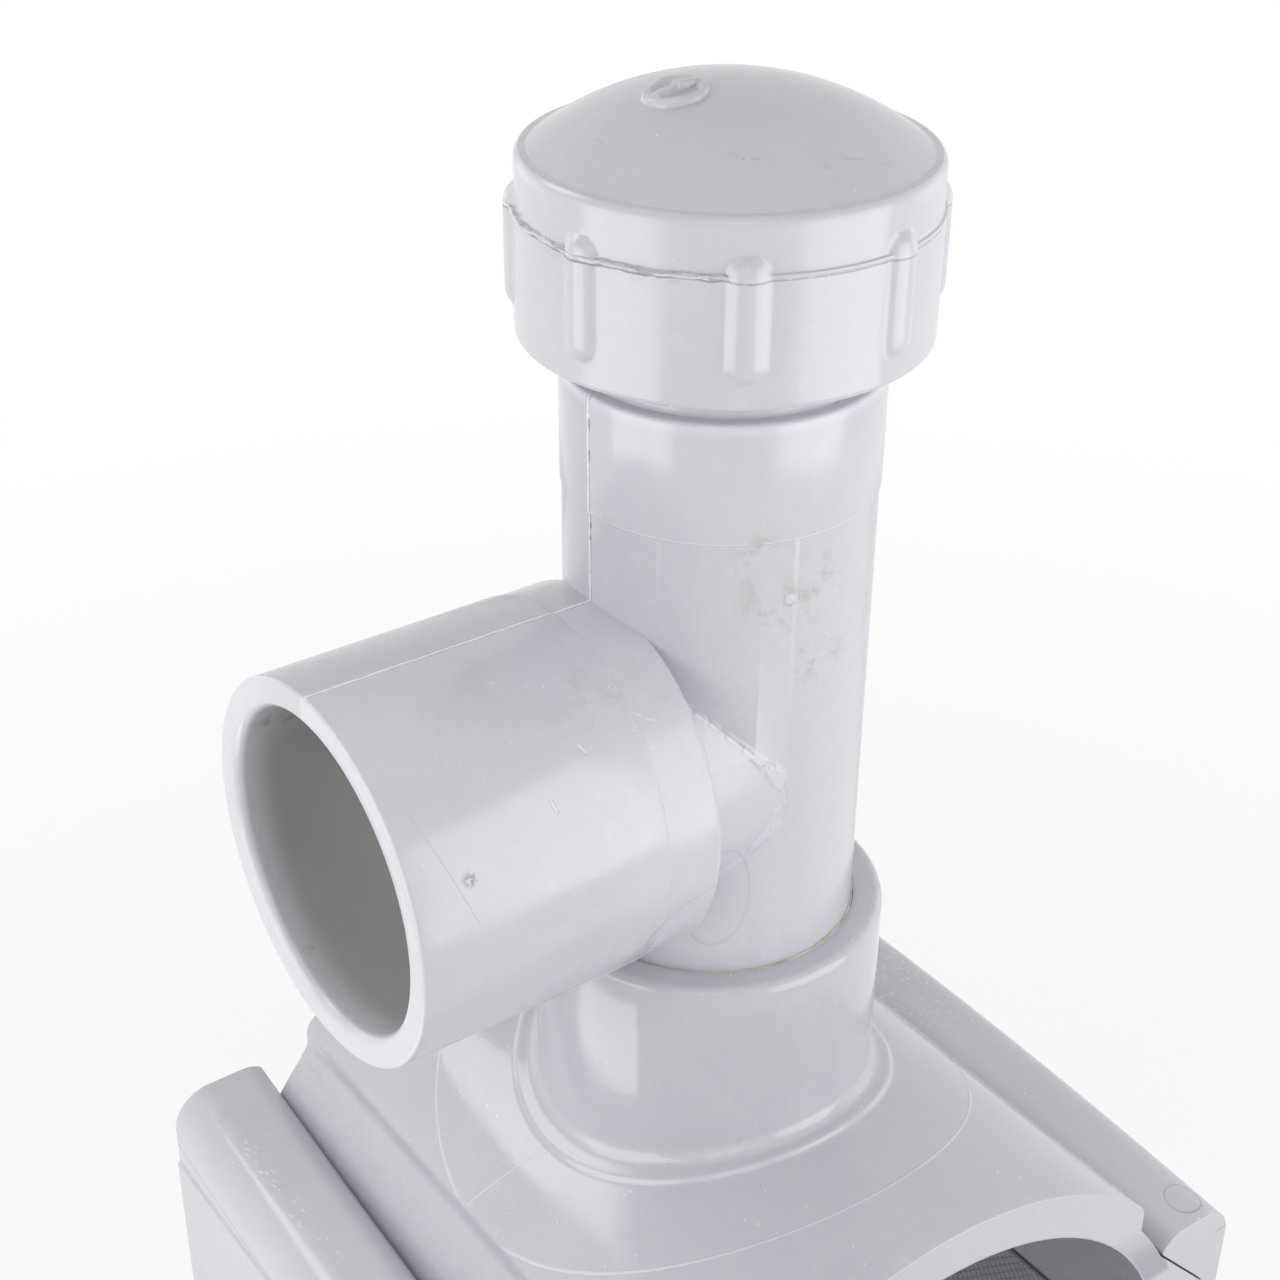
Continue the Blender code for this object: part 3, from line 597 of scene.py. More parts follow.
def tee_mesh():
    """The tee: tube, hub and socket joined, then opened by the mouth, the passage and the bore."""
    tube = [(0, TUBE_FOOT), (TUBE_R, TUBE_FOOT), (TUBE_R, RING_Z - 0.0002)]
    tube += [(HEAD_R - 0.0001, RING_Z + 0.0001), (HEAD_R, RING_Z + 0.0003)]
    tube += round_arc((HEAD_R - HEAD_ROUND, SHOULDER_Z - HEAD_ROUND), HEAD_ROUND, 0, 90, 6)
    tube += [(NECK_R, SHOULDER_Z), (NECK_R, NECK_TOP - 0.0010), (NECK_R - 0.0008, NECK_TOP), (0, NECK_TOP)]
    back_r, bend = SOCKET_R - 0.0002, 0.0015
    socket = [(0, SOCKET_BACK)] + round_arc((back_r - bend, SOCKET_BACK + bend), bend, -90, 0, 7)
    socket += [(back_r, SOCKET_RING - 0.0001), (SOCKET_R - 0.0001, SOCKET_RING)]
    socket += [(SOCKET_R, SOCKET_RING + 0.0002)]
    socket += round_arc((SOCKET_R - SOCKET_LIP, SOCKET_FACE - SOCKET_LIP), SOCKET_LIP, 0, 90, 5)
    socket += [(0, SOCKET_FACE)]
    flare_r, beyond = SOCKET_BORE + MOUTH_ROUND, 0.0750
    mouth = [(0, SOCKET_RING), (SOCKET_BORE - 0.0003, SOCKET_RING)]
    mouth += round_arc((flare_r, SOCKET_FACE - 0.0017), MOUTH_ROUND, 180, 90, 9)
    mouth += [(flare_r, beyond), (0, beyond)]
    branch = [("hub", cylinder(HUB_R, 0, 0.0255), 0.25, "UNION"), ("socket", socket, 0.0, "UNION")]
    branch += [("mouth", mouth, 0.5, "DIFFERENCE")]
    branch += [("passage", cylinder(BRANCH_BORE, 0, 0.0600), 0.25, "DIFFERENCE")]
    tools = [(lathe_mesh(name, shape, outlet_way, phase=phase), way) for name, shape, phase, way in branch]
    tools += [(lathe_mesh("bore", cylinder(TUBE_BORE, 0.0600, 0.2260), phase=0.5), "DIFFERENCE")]
    return boolean_mesh(lathe_mesh("tube", tube), tools)


# Cap

def cap_profile():
    """The cap's (radius, height) points, from the top of its dome down outside and up inside.

    Also gives how many of them are outside, and the first of the two that the flash tears.
    """
    wall = CAP_R - 0.0003
    edge_r = wall - DOME_ROUND
    edge_z = dome_height(edge_r) - DOME_ROUND * 0.86
    lean = math.degrees(math.asin(edge_r / DOME_R))
    outside = [(0.0, DOME_TOP)] + [(r, dome_height(r)) for r in edge_r * np.linspace(0, 1, 30)[1:]]
    outside += round_arc((edge_r, edge_z), DOME_ROUND, 90 - lean, 0, 7)
    outside += [(wall, z) for z in np.linspace(edge_z, CAP_PARTING + 0.0006, 14)[1:]]
    flashed = len(outside) + 1
    flash = [(wall + 0.00005, 0.0004), (CAP_R + 0.0001, 0.00025)]
    flash += [(CAP_R + 0.0002, 0.0), (CAP_R + 0.00005, -0.0002)]
    outside += [(r, CAP_PARTING + z) for r, z in flash]
    outside += [(CAP_R, z) for z in np.linspace(CAP_PARTING - 0.0005, CAP_LOW + 0.0010, 44)]
    centre = (CAP_R - CAP_LOW_ROUND, CAP_LOW + CAP_LOW_ROUND)
    outside += round_arc(centre, CAP_LOW_ROUND, 0, -90, 6)
    inside = [(0.0242, CAP_LOW), (0.0236, CAP_LOW), (0.0231, CAP_LOW + 0.0004), (CAP_BORE, CAP_LOW + 0.0010)]
    inside += [(CAP_BORE, z) for z in np.linspace(CAP_LOW + 0.003, CAP_CEILING - 0.0003, 8)]
    inside += [(CAP_BORE - 0.0001, CAP_CEILING - 0.0001), (CAP_BORE - 0.0003, CAP_CEILING)]
    inside += [(0.0188, CAP_CEILING), (0.0186, CAP_CEILING + 0.0002)]
    inside += round_arc((0.0161, CAP_CEILING + 0.0025), 0.0025, 0, 90, 6)
    inside += [(0.0080, CAP_CEILING + 0.0050), (0.0, CAP_CEILING + 0.0050)]
    return np.array(outside + inside), len(outside), flashed


def cap_grid():
    """The cap as one grid round its axis: the outer skin down from the dome, then up inside.

    Between the grips' ends the wall's radius is the greater of the plain wall and the grip, a bar
    of radius g at distance d from the axis: r = d cos a + root(g^2 - d^2 sin^2 a), where the
    bar's ends are balls. The two rows of flash stand out and up by random amounts on the front.
    """
    profile, outside_count, flashed = cap_profile()
    share = (np.arange(CAP_COLUMNS) + 0.5) / CAP_COLUMNS * GRIPS
    angle = math.radians(GRIP_FIRST) + FULL_TURN / GRIPS * (share - 0.115 * np.sin(FULL_TURN * share))
    shape = (len(profile), CAP_COLUMNS)
    radius, height = (np.broadcast_to(profile[:, [part]], shape).copy() for part in (0, 1))

    torn = np.random.default_rng(5).random((2, CAP_COLUMNS))
    torn = (torn + 0.6 * np.roll(torn, 1, axis=1) + 0.6 * np.roll(torn, -1, axis=1)) / 2.2
    off = (np.degrees(angle) - 272.0 + 180.0) % 360.0 - 180.0
    torn = torn ** 1.5 * np.clip((54.0 - abs(off)) / 6.0, 0, 1)
    radius[flashed:flashed + 2] += 0.0006 * torn[0]
    height[flashed:flashed + 2] += 0.0007 * (torn[1] - 0.5 * (torn[1] > 0))

    step = 360.0 / GRIPS
    away = np.radians((np.degrees(angle) - GRIP_FIRST + step / 2) % step - step / 2)
    bar = CAP_R + GRIP_STAND - GRIP_R
    half = math.sqrt(GRIP_R ** 2 - (GRIP_R - GRIP_STAND) ** 2)
    beyond = np.maximum(np.maximum(GRIP_LOW + half - height, height - GRIP_HIGH + half), 0.0)
    square = GRIP_R ** 2 - beyond ** 2 - (bar * np.sin(away)) ** 2
    reach = np.where(square > 0, bar * np.cos(away) + np.sqrt(np.maximum(square, 0.0)), 0.0)
    wall = (np.arange(len(profile)) < outside_count)[:, None]
    wall = wall & (height < CAP_CEILING) & (height > CAP_LOW + 0.001) & (reach > radius - 0.002)
    lifted = 0.5 * (radius + reach + np.sqrt((radius - reach) ** 2 + GRIP_SOFT ** 2)) - GRIP_SOFT / 4
    return round_tee(np.where(wall, np.maximum(lifted, radius), radius), angle, height)


def dome_height(radius):
    return DOME_TOP - DOME_R + np.sqrt(DOME_R ** 2 - np.asarray(radius) ** 2)


def thread_mesh(name, *ridge, **section):
    return welded(name, [sleeve(helix_ridge(*ridge, **section), 0, -1)])


def cap_mesh():
    thread = helix_ridge(CAP_BORE, 0.02185, CAP_LOW + 0.0020, 0.2165, CAP_PITCH, 180.0)
    return welded("cap_skin", [sleeve(cap_grid()), sleeve(thread, 0, -1)])


def gate_mesh():
    """What the gate left on the dome: a raised ring, and a torn bar across its hollow.

    Rings about the gate's middle stand the given lift above the dome. The bar is the greater of
    that and a ridge along Y whose lift falls off as the fourth power of the way from its middle
    line, and whose top leans and waves.
    """
    rings = [(0.0045, -0.0006), (0.0045, 0.0001), (0.0044, 0.0006), (0.0042, 0.00085)]
    rings += [(0.0038, 0.00095), (0.0034, 0.0009), (0.0030, 0.0007), (0.0027, 0.0004)]
    rings += [(radius, 0.00025) for radius in np.linspace(0.0024, 0.0, 9)]
    angle = FULL_TURN * np.arange(96) / 96
    radius, lift = np.array(rings).T[:, :, None]
    uneven = radius * (1 + 0.03 * np.sin(2 * angle + 1.0) + 0.015 * np.sin(5 * angle))
    waves = 0.00012 * np.sin(2 * angle + 2.6) + 0.00007 * np.sin(7 * angle)
    lift = lift + np.clip((radius - 0.0030) / 0.0008, 0, 1) * waves
    across, along = uneven * np.cos(angle), uneven * np.sin(angle)
    ridge = 0.0012 + 0.00025 * np.sin(900 * along) + 0.00012 * np.sin(2600 * along + 1)
    ridge = ridge * np.clip(1.15 - (abs(across) / 0.0009) ** 4, 0, 1)
    lift = np.where(radius < 0.0037, np.maximum(lift, ridge + 0.0002), lift)
    x, y = GATE_PLACE[0] + across, GATE_PLACE[1] + along
    height = np.minimum(dome_height(np.hypot(x, y)) + lift, GATE_TOP)
    return welded("gate_stub", [sleeve(np.stack([x, y, height], axis=-1), 0)])


def glue_bead_mesh():
    """The line of set cement between the tube and the collar.

    A small round whose size swells and shrinks by a sum of sines of the angle, carried round the
    tee's axis.
    """
    angle = FULL_TURN * np.arange(480) / 480
    turn = (FULL_TURN * np.arange(14) / 14)[:, None]
    swell = 1 + 0.30 * np.sin(3 * angle + 1) + 0.25 * np.sin(7 * angle)
    swell = 0.00026 * (swell + 0.20 * np.sin(19 * angle + 2) + 0.12 * np.sin(43 * angle))
    radius, height = 0.0234 + 1.1 * swell * np.cos(turn), COLLAR_TOP - 0.0003 + swell * np.sin(turn)
    return welded("glue_bead", [hoop(round_tee(radius, angle, height))])


# Inner pieces

def cutter_mesh():
    """The cutter: a hollow round that steps out from its nose to its head, keyed by a hexagon."""
    nose, shank, head = CUTTER_NOSE_R, CUTTER_R, CUTTER_HEAD_R
    profile = [(0, 0.1750), (0.0128, 0.1750), (0.0128, CUTTER_LOW + 0.0002), (0.0129, CUTTER_LOW)]
    profile += [(0.0131, CUTTER_LOW), (nose, CUTTER_LOW + 0.0030), (nose, CUTTER_LOW + 0.0180)]
    profile += [(shank, CUTTER_LOW + 0.0196), (shank, 0.1885), (0.0172, 0.1889), (head, 0.1893)]
    profile += [(head, RING_LOW - 0.0002), (head - 0.0002, RING_LOW), (RING_FLOOR, RING_LOW)]
    profile += [(RING_FLOOR, RING_HIGH), (head - 0.0002, RING_HIGH), (head, RING_HIGH + 0.0002)]
    profile += [(head, CUTTER_HIGH - 0.0004), (head - 0.0004, CUTTER_HIGH), (0, CUTTER_HIGH)]
    hexagon = lathe_mesh("key", cylinder(KEY_R, 0.1810, 0.2000), count=6, phase=1 / 6)
    return boolean_mesh(lathe_mesh("cutter_base", profile), [(hexagon, "DIFFERENCE")])


def flattened_round(steps, power):
    """The cosine and sine of a full turn, each drawn out towards one by a power of its size."""
    turn = np.linspace(0, FULL_TURN, steps, endpoint=False)
    return [np.sign(way) * np.abs(way) ** power for way in (np.cos(turn), np.sin(turn))]


def ring_mesh(name, inner, outer, low, high):
    """A rubber ring: a flattened round carried round the tee's axis."""
    across, up = flattened_round(24, 0.6)
    radius = (inner + outer) / 2 + across * (outer - inner) / 2
    height = (low + high) / 2 + up * (high - low) / 2
    return welded(name, [hoop(revolved(pair(radius, height)))])


def saddle_seal_mesh():
    """The seal round the tapping hole: a flattened round whose faces follow the bore."""
    across, up = flattened_round(28, 0.55)
    angle = FULL_TURN * np.arange(192) / 192
    radius = (SEAL_R + across * SEAL_HALF_WIDTH)[:, None]
    main = (BORE_R - 0.0001 + SEAL_HALF_HEIGHT + up * SEAL_HALF_HEIGHT)[:, None]
    height = np.sqrt(main ** 2 - (radius * np.sin(angle)) ** 2)
    return welded("saddle_seal_skin", [hoop(round_tee(radius, angle, height))])


# Camera and studio

def aimed(place, looks):
    return Matrix.Translation(place) @ Vector(looks).to_track_quat("-Z", "Y").to_matrix().to_4x4()


def set_camera():
    data = bpy.data.cameras.new("camera")
    data.lens, data.sensor_width, data.clip_start = LENS, SENSOR, 0.01
    camera = placed("camera", data)
    camera.matrix_world = aimed(CAMERA_PLACE, CAMERA_LOOKS) @ Matrix.Rotation(CAMERA_ROLL, 4, "Z")
    bpy.context.scene.camera = camera


def softbox(name, place, target, width, height, power):
    """A flat rectangular lamp that faces its target and isn't seen by the camera itself."""
    data = bpy.data.lights.new(name, "AREA")
    data.shape, data.size, data.size_y, data.energy = "RECTANGLE", width, height, power
    lamp = placed(name, data)
    lamp.matrix_world = aimed(place, Vector(target) - Vector(place))
    lamp.visible_camera = False


def standing_lamp(name, azimuth, distance, low, high, width, power):
    """A lamp that stands upright round the object, and looks level at the tee's axis."""
    turn, middle = math.radians(azimuth), (low + high) / 2
    place = (distance * math.cos(turn), distance * math.sin(turn), middle)
    softbox(name, place, (0.0, 0.0, middle), width, high - low, power)


# Finishes

class Signal:
    """A node's output that can be reckoned with: each operator adds the Math node that does it."""

    def __init__(self, nodes, socket):
        self.nodes, self.socket = nodes, socket

    def maths(self, operation, *values):
        return self.nodes.node("Math", {"operation": operation}, values)

    def __add__(self, other):
        return self.maths("ADD", self, other)

    def __sub__(self, other):
        return self.maths("SUBTRACT", self, other)

    def __rsub__(self, other):
        return self.maths("SUBTRACT", other, self)

    def __mul__(self, other):
        return self.maths("MULTIPLY", self, other)

    def __truediv__(self, other):
        return self.maths("DIVIDE", self, other)

    def __rtruediv__(self, other):
        return self.maths("DIVIDE", other, self)

    def __pow__(self, other):
        return self.maths("POWER", self, other)

    def __rpow__(self, other):
        return self.maths("POWER", other, self)

    def __abs__(self):
        return self.maths("ABSOLUTE", self)

    __radd__ = __add__
    __rmul__ = __mul__

    def greater(self, other):
        return self.maths("MAXIMUM", self, other)

    def sine(self):
        return self.maths("SINE", self)

    def angle_to(self, other):
        """The angle whose tangent is this value over the other."""
        return self.maths("ARCTAN2", self, other)


class Nodes:
    """A tree of shader nodes, which all come from one method."""

    def __init__(self, tree):
        self.tree = tree
        tree.nodes.clear()

    def node(self, kind, settings=None, sockets=(), output=0):
        """Adds a node, with its settings first and then its sockets' values or links.

        Sockets is a sequence in the node's own order, or a table by name or number. The node's
        chosen output comes back, or a list where several are named.
        """
        added = self.tree.nodes.new("ShaderNode" + kind)
        for name, value in (settings or {}).items():
            setattr(added, name, value)
        for key, value in (sockets.items() if isinstance(sockets, dict) else enumerate(sockets)):
            if isinstance(value, Signal):
                self.tree.links.new(value.socket, added.inputs[key])
            else:
                added.inputs[key].default_value = value
        if isinstance(output, tuple):
            return [Signal(self, added.outputs[name]) for name in output]
        return Signal(self, added.outputs[output]) if added.outputs else None

    def vector(self, operation, sockets, output="Value"):
        return self.node("VectorMath", {"operation": operation}, sockets, output)

    def band(self, value, low, high):
        """Rises smoothly from 0 to 1 between two values, or falls where low is the greater."""
        return self.node("MapRange", {"interpolation_type": "SMOOTHSTEP"}, (value, low, high, 0.0, 1.0))


class Finish(Nodes):
    """A material built up in steps: every step adds to its colour, its roughness or its relief."""

    def __init__(self, name, colour, roughness, metallic=0.0):
        self.material = bpy.data.materials.new(name)
        self.material.use_nodes = True
        super().__init__(self.material.node_tree)
        self.own, self.colour = colour, (*colour, 1.0)
        self.roughness, self.metallic, self.relief = roughness, metallic, None
        self.place = self.node("TexCoord", output="Object")
        self.x, self.y, self.z = self.node("SeparateXYZ", None, (self.place,), ("X", "Y", "Z"))

    def stretched(self, turn, by):
        """The place in a frame turned by three angles in degrees, and stretched along its axes."""
        sockets = {"Vector": self.place, "Rotation": [math.radians(angle) for angle in turn], "Scale": by}
        return self.node("Mapping", {"vector_type": "TEXTURE"}, sockets)

    def noise(self, scale, detail=2.0, roughness=0.5, place=None):
        """Soft random value about 0.5, in lumps of one over the scale in metres."""
        sockets = {"Vector": place or self.place, "Scale": scale, "Detail": detail, "Roughness": roughness}
        return self.node("TexNoise", None, sockets)

    def line(self, value, centre, half_width):
        """One along a line where the value is at its centre, and nothing beyond its half width."""
        return self.band(abs(value - centre), half_width, LINE_CORE * half_width)

    def spot(self, centre, radius, core=0.2):
        """One inside a ball round a place, falling to nothing at its radius."""
        return self.band(self.vector("DISTANCE", (self.place, centre)), radius, core * radius)

    def stroke(self, start, end, half_width):
        """One along a straight stroke between two places: the distance to its nearest point."""
        way = Vector(end) - Vector(start)
        long = way.length
        ahead = tuple(way / long)
        since = self.vector("SUBTRACT", (self.place, start), "Vector")
        inside = self.node("Clamp", None, (self.vector("DOT_PRODUCT", (since, ahead)), 0.0, long))
        foot = self.vector("SCALE", {0: ahead, "Scale": inside}, "Vector")
        return self.band(self.vector("DISTANCE", (since, foot)), half_width, LINE_CORE * half_width)

    def specks(self, scale, size, shares, turn, long):
        """Dashes, so many times longer than wide: for each share, in that share of all cells."""
        cells = {"Vector": self.stretched(turn, (1.0, 1.0, long)), "Scale": scale}
        away, pick = self.node("TexVoronoi", None, cells, ("Distance", "Color"))
        chosen = self.node("SeparateColor", None, (pick,), ("Red", "Green"))
        dash = self.band(away, size * scale, 0.4 * size * scale)
        return [dash * self.band(value, 1.0 - share, 1.001 - share) for value, share in zip(chosen, shares)]

    def tinted(self, mask, colour, share):
        """Mixes in a colour, or the finish's own colour at a level, by a share of the mask."""
        colour = colour if isinstance(colour, tuple) else toned(self.own, colour)
        sockets = {0: mask * share, 6: self.colour, 7: (*colour, 1.0)}
        self.colour = self.node("Mix", {"data_type": "RGBA"}, sockets, 2)

    def dulled(self, mask, amount):
        self.roughness = mask * amount + self.roughness

    def raised(self, height):
        """Adds to the relief, in metres."""
        self.relief = height if self.relief is None else self.relief + height

    def marked(self, mask, height, colour, share):
        """Relief and tint under one mask."""
        self.raised(mask * height)
        self.tinted(mask, colour, share)

    def radius_round(self, first, second):
        return (first * first + second * second) ** 0.5

    def done(self):
        sockets = {"Base Color": self.colour, "Roughness": self.roughness, "Metallic": self.metallic}
        relief = {"Strength": 1.0, "Distance": 1.0, "Height": self.relief}
        sockets.update({"IOR": PLASTIC_INDEX, "Normal": self.node("Bump", None, relief)})
        self.node("OutputMaterial", None, (self.node("BsdfPrincipled", None, sockets),))
        return self.material


def toned(colour, level):
    return tuple(level * part for part in colour)


def moulded(name, colour, roughness=0.18, flecked=0.10):
    """Moulded plastic, as handling leaves it.

    The relief sums long waves, orange peel and grain. The colour is mottled by soft noise, and
    carries hairlines, pale flecks and dark pits.
    """
    finish = Finish(name, colour, roughness)
    waves, peel, grain = finish.noise(85.0, 0.0), finish.noise(400.0, 1.0), finish.noise(1250.0, 1.0)
    finish.raised(waves * 0.00006 + peel * 0.000018 + grain * 0.000010)
    mottle = finish.noise(30.0, 3.0, 0.65)
    finish.tinted(finish.band(mottle, 0.40, 0.75), 0.92, 0.5)
    finish.tinted(finish.band(peel, 0.48, 0.80), toned((*colour[:2], colour[2] * 0.97), 1.04), 0.5)
    finish.dulled(finish.band(mottle, 0.55, 0.40), 0.08)
    hairlines, = finish.specks(420.0, 0.00007, (0.40,), (25, 40, 10), 22.0)
    finish.tinted(hairlines, 1.30, 0.45)
    flecks, pits = finish.specks(600.0, 0.00016, (flecked, 0.03), (80, -15, 50), 4.0)
    finish.tinted(flecks, 1.42, 0.75)
    finish.tinted(pits, 0.60, 0.50)
    return finish


SOCKET_NICKS = (
    ((0.0190, -0.0296, 0.1510), (0.0198, -0.0283, 0.1502)),
    ((0.0203, -0.0276, 0.1498), (0.0209, -0.0262, 0.1492)),
    ((0.0203, -0.0392, 0.1497), (0.0212, -0.0386, 0.1488)),
    ((0.0240, -0.0462, 0.1454), (0.0250, -0.0458, 0.1441)),
)
THICK_DIRT = (
    ((0.0225, -0.0050, 0.1640), 0.0125), ((0.0232, 0.0007, 0.1526), 0.0075),
    ((0.0213, -0.0094, 0.1700), 0.0070),
)
THIN_DIRT = (((0.0170, -0.0330, 0.1540), 0.0090), ((0.0220, -0.0200, 0.1460), 0.0110))
DOME_SCRATCHES = (
    ((0.0040, -0.0180, 0.2258), (0.0165, -0.0110, 0.2252)),
    ((0.0165, -0.0110, 0.2252), (0.0222, -0.0020, 0.2238)),
    ((-0.0080, -0.0200, 0.2237), (0.0005, -0.0208, 0.2247)),
    ((0.0215, 0.0015, 0.2243), (0.0232, 0.0075, 0.2226)),
)


def tee_finish():
    """The tee: the mould's seams and rings, its flash, an ejector's oval, wear, dirt and cement, a painted
    light crescent under the cap, and painted shade inside the socket.
    """
    finish = moulded("white_pvc_tee", WHITE)
    band, line, spot, noise = finish.band, finish.line, finish.spot, finish.noise
    tinted, marked = finish.tinted, finish.marked
    x, y, z = finish.x, finish.y, finish.z
    rise = z - BRANCH_Z
    from_branch, from_tube = finish.radius_round(x, rise), finish.radius_round(x, y)
    front, above_hub, on_branch = band(y, 0.0, -0.010), band(z, 0.1585, 0.1600), band(y, -0.0215, -0.0235)
    on_socket = band(from_branch, SOCKET_R - 0.0010, SOCKET_R - 0.0005)
    seam_x = x + (noise(260.0) - 0.5) * 0.0004
    nicked = band(noise(420.0), 0.40, 0.52)

    # The mould's seam up the tube and along the top of the socket
    up_tube = line(seam_x, 0.0, 0.00030) * front * above_hub
    along_socket = line(seam_x, 0.0, 0.00048) * band(rise, 0.020, 0.024) * on_branch
    seam = up_tube.greater(along_socket) * band(y, -SOCKET_FACE, 0.0010 - SOCKET_FACE)
    finish.raised(seam * (0.00018 + nicked * 0.00012))
    tinted(seam, 1.42, 0.9)
    dirty = band(noise(330.0), 0.56, 0.62)
    tinted(line(seam_x, 0.0003, 0.0004) * front * above_hub * dirty, (0.16, 0.15, 0.13), 0.6)
    head_ring = line(z, RING_Z, 0.00022) * band(from_tube, TUBE_R - 0.0008, TUBE_R - 0.0003)
    back_ring = line(y, -SOCKET_RING, 0.00022) * on_socket
    marked(head_ring.greater(back_ring), 0.00008, 1.36, 0.7)
    faint = line(y + rise * 0.36, -0.0587, 0.00018) * band(rise, 0.003, 0.006) * band(rise, 0.0225, 0.0200)
    marked(faint * on_socket * band(x, 0.008, 0.012), 0.00003, 0.88, 0.35)
    beside = band(x, -0.0004, -0.0010) * band(x, -0.0200, -0.0060) * band(rise, 0.014, 0.022)
    tinted(beside * on_branch, 0.80, 0.55)

    # Flash where the hub meets the tube
    mitre = line(from_branch, HUB_R, 0.0006) * line(from_tube, TUBE_R, 0.0006) * band(y, -0.002, -0.006)
    marked(mitre * nicked, 0.00012, 1.10, 0.7)

    # Painted light: a lighter crescent on the tube just under the cap, where the cap's shade falls
    tinted(band(z, 0.1878, 0.1898) * band(from_tube, 0.0228, 0.0232), 1.22, 0.6)

    # An oval left by an ejector low on the tube
    across = (y.angle_to(x) + math.radians(37.0)) * (TUBE_R / 0.0056)
    oval = line(finish.radius_round(across, (z - 0.1128) / 0.0100), 1.0, 0.045)
    low_tube = band(z, 0.124, 0.122) * band(from_tube, 0.0225, 0.0230)
    marked(oval * low_tube, -0.00004, 0.86, 0.35)

    # Handling: nicks on top of the socket, a rubbed grey mark, and brownish dirt on the tube
    top_zone = spot((0.006, -0.046, 0.1555), 0.026, 0.4)
    top_zone = top_zone.greater(spot((0.024, -0.046, 0.146), 0.014, 0.3) * 0.8)
    nicks, cuts = finish.specks(620.0, 0.00018, (0.40, 0.14), (0, 35, 20), 6.0)
    tinted(nicks * top_zone, 1.42, 0.85)
    tinted(cuts * top_zone, 0.62, 0.55)
    rubbed = spot((0.0267, -0.0609, 0.1405), 0.0016) * band(noise(1500.0), 0.38, 0.55)
    tinted(rubbed, (0.22, 0.22, 0.25), 0.75)
    for start, end in SOCKET_NICKS:
        marked(finish.stroke(start, end, 0.00035), -0.00010, 1.30, 0.7)
    blots = [spot(*blot) for blot in THICK_DIRT] + [spot(*blot) * 0.6 for blot in THIN_DIRT]
    grimy = functools.reduce(Signal.greater, blots) * band(noise(260.0, 4.0, 0.75), 0.50, 0.62)
    tinted(grimy, DIRT, 0.50)
    finish.dulled(grimy, 0.2)
    marked(spot((0.0227, -0.0050, 0.1624), 0.0011, 0.5), 0.00015, 1.1, 0.8)

    # Inside the socket, where little light reaches: painted shade, painted lighter deeper in and lower down,
    # and a smear of old cement on the skin
    inside = band(from_branch, 0.0248, 0.0244) * band(y, -0.0690, -0.0625) * band(y, -0.0285, -0.0300)
    smear = noise(60.0, 3.0, 0.6)
    tinted(inside, SHADED_BORE, 0.92)
    tinted(inside * band(y, -0.0660, -0.0400) * band(rise, 0.016, -0.006), (0.60, 0.62, 0.60), 0.9)
    tinted(inside * band(smear, 0.45, 0.70), (0.44, 0.45, 0.40), 0.35)
    tinted(inside * band(smear, 0.66, 0.70), (0.12, 0.10, 0.08), 0.7)
    finish.dulled(inside, 0.25)
    return finish.done()


def cap_finish():
    """The cap: ragged, grimy flash round the parting line, and broken scratches on the dome."""
    finish = moulded("white_pvc_cap", WHITE)
    band, line, noise, tinted = finish.band, finish.line, finish.noise, finish.tinted
    z, azimuth = finish.z, finish.y.angle_to(finish.x)
    ragged = noise(520.0, 3.0, 0.7)
    left = band(azimuth, math.radians(-34.0), math.radians(-42.0))
    left = left * band(azimuth, math.radians(-142.0), math.radians(-130.0))
    torn_z = z + (noise(190.0) - 0.5) * 0.0014 * left
    flash = line(torn_z, CAP_PARTING, 0.00055)
    finish.raised(flash * ragged * left * 0.0004)
    tinted(flash * left * band(ragged, 0.40, 0.55), 1.25, 0.7)
    tinted(line(torn_z, CAP_PARTING - 0.00045, 0.00022) * band(ragged, 0.34, 0.44), 0.40, 0.55)
    tinted(flash * left * band(noise(240.0, 3.0, 0.7), 0.53, 0.60), toned(DIRT, 0.7), 0.65)
    below = band(torn_z, CAP_PARTING - 0.0022, CAP_PARTING) * band(z, CAP_PARTING + 0.0010, CAP_PARTING)
    tinted(below * left * band(noise(300.0, 4.0, 0.7), 0.50, 0.62), DIRT, 0.4)
    tinted(line(z, CAP_PARTING, 0.0003), 1.05, 0.5)

    broken, dome = band(noise(700.0), 0.47, 0.56), band(z, 0.2180, 0.2195)
    for start, end in DOME_SCRATCHES:
        finish.marked(finish.stroke(start, end, 0.0006) * broken * dome, -0.00008, 0.72, 0.45)
    return finish.done()


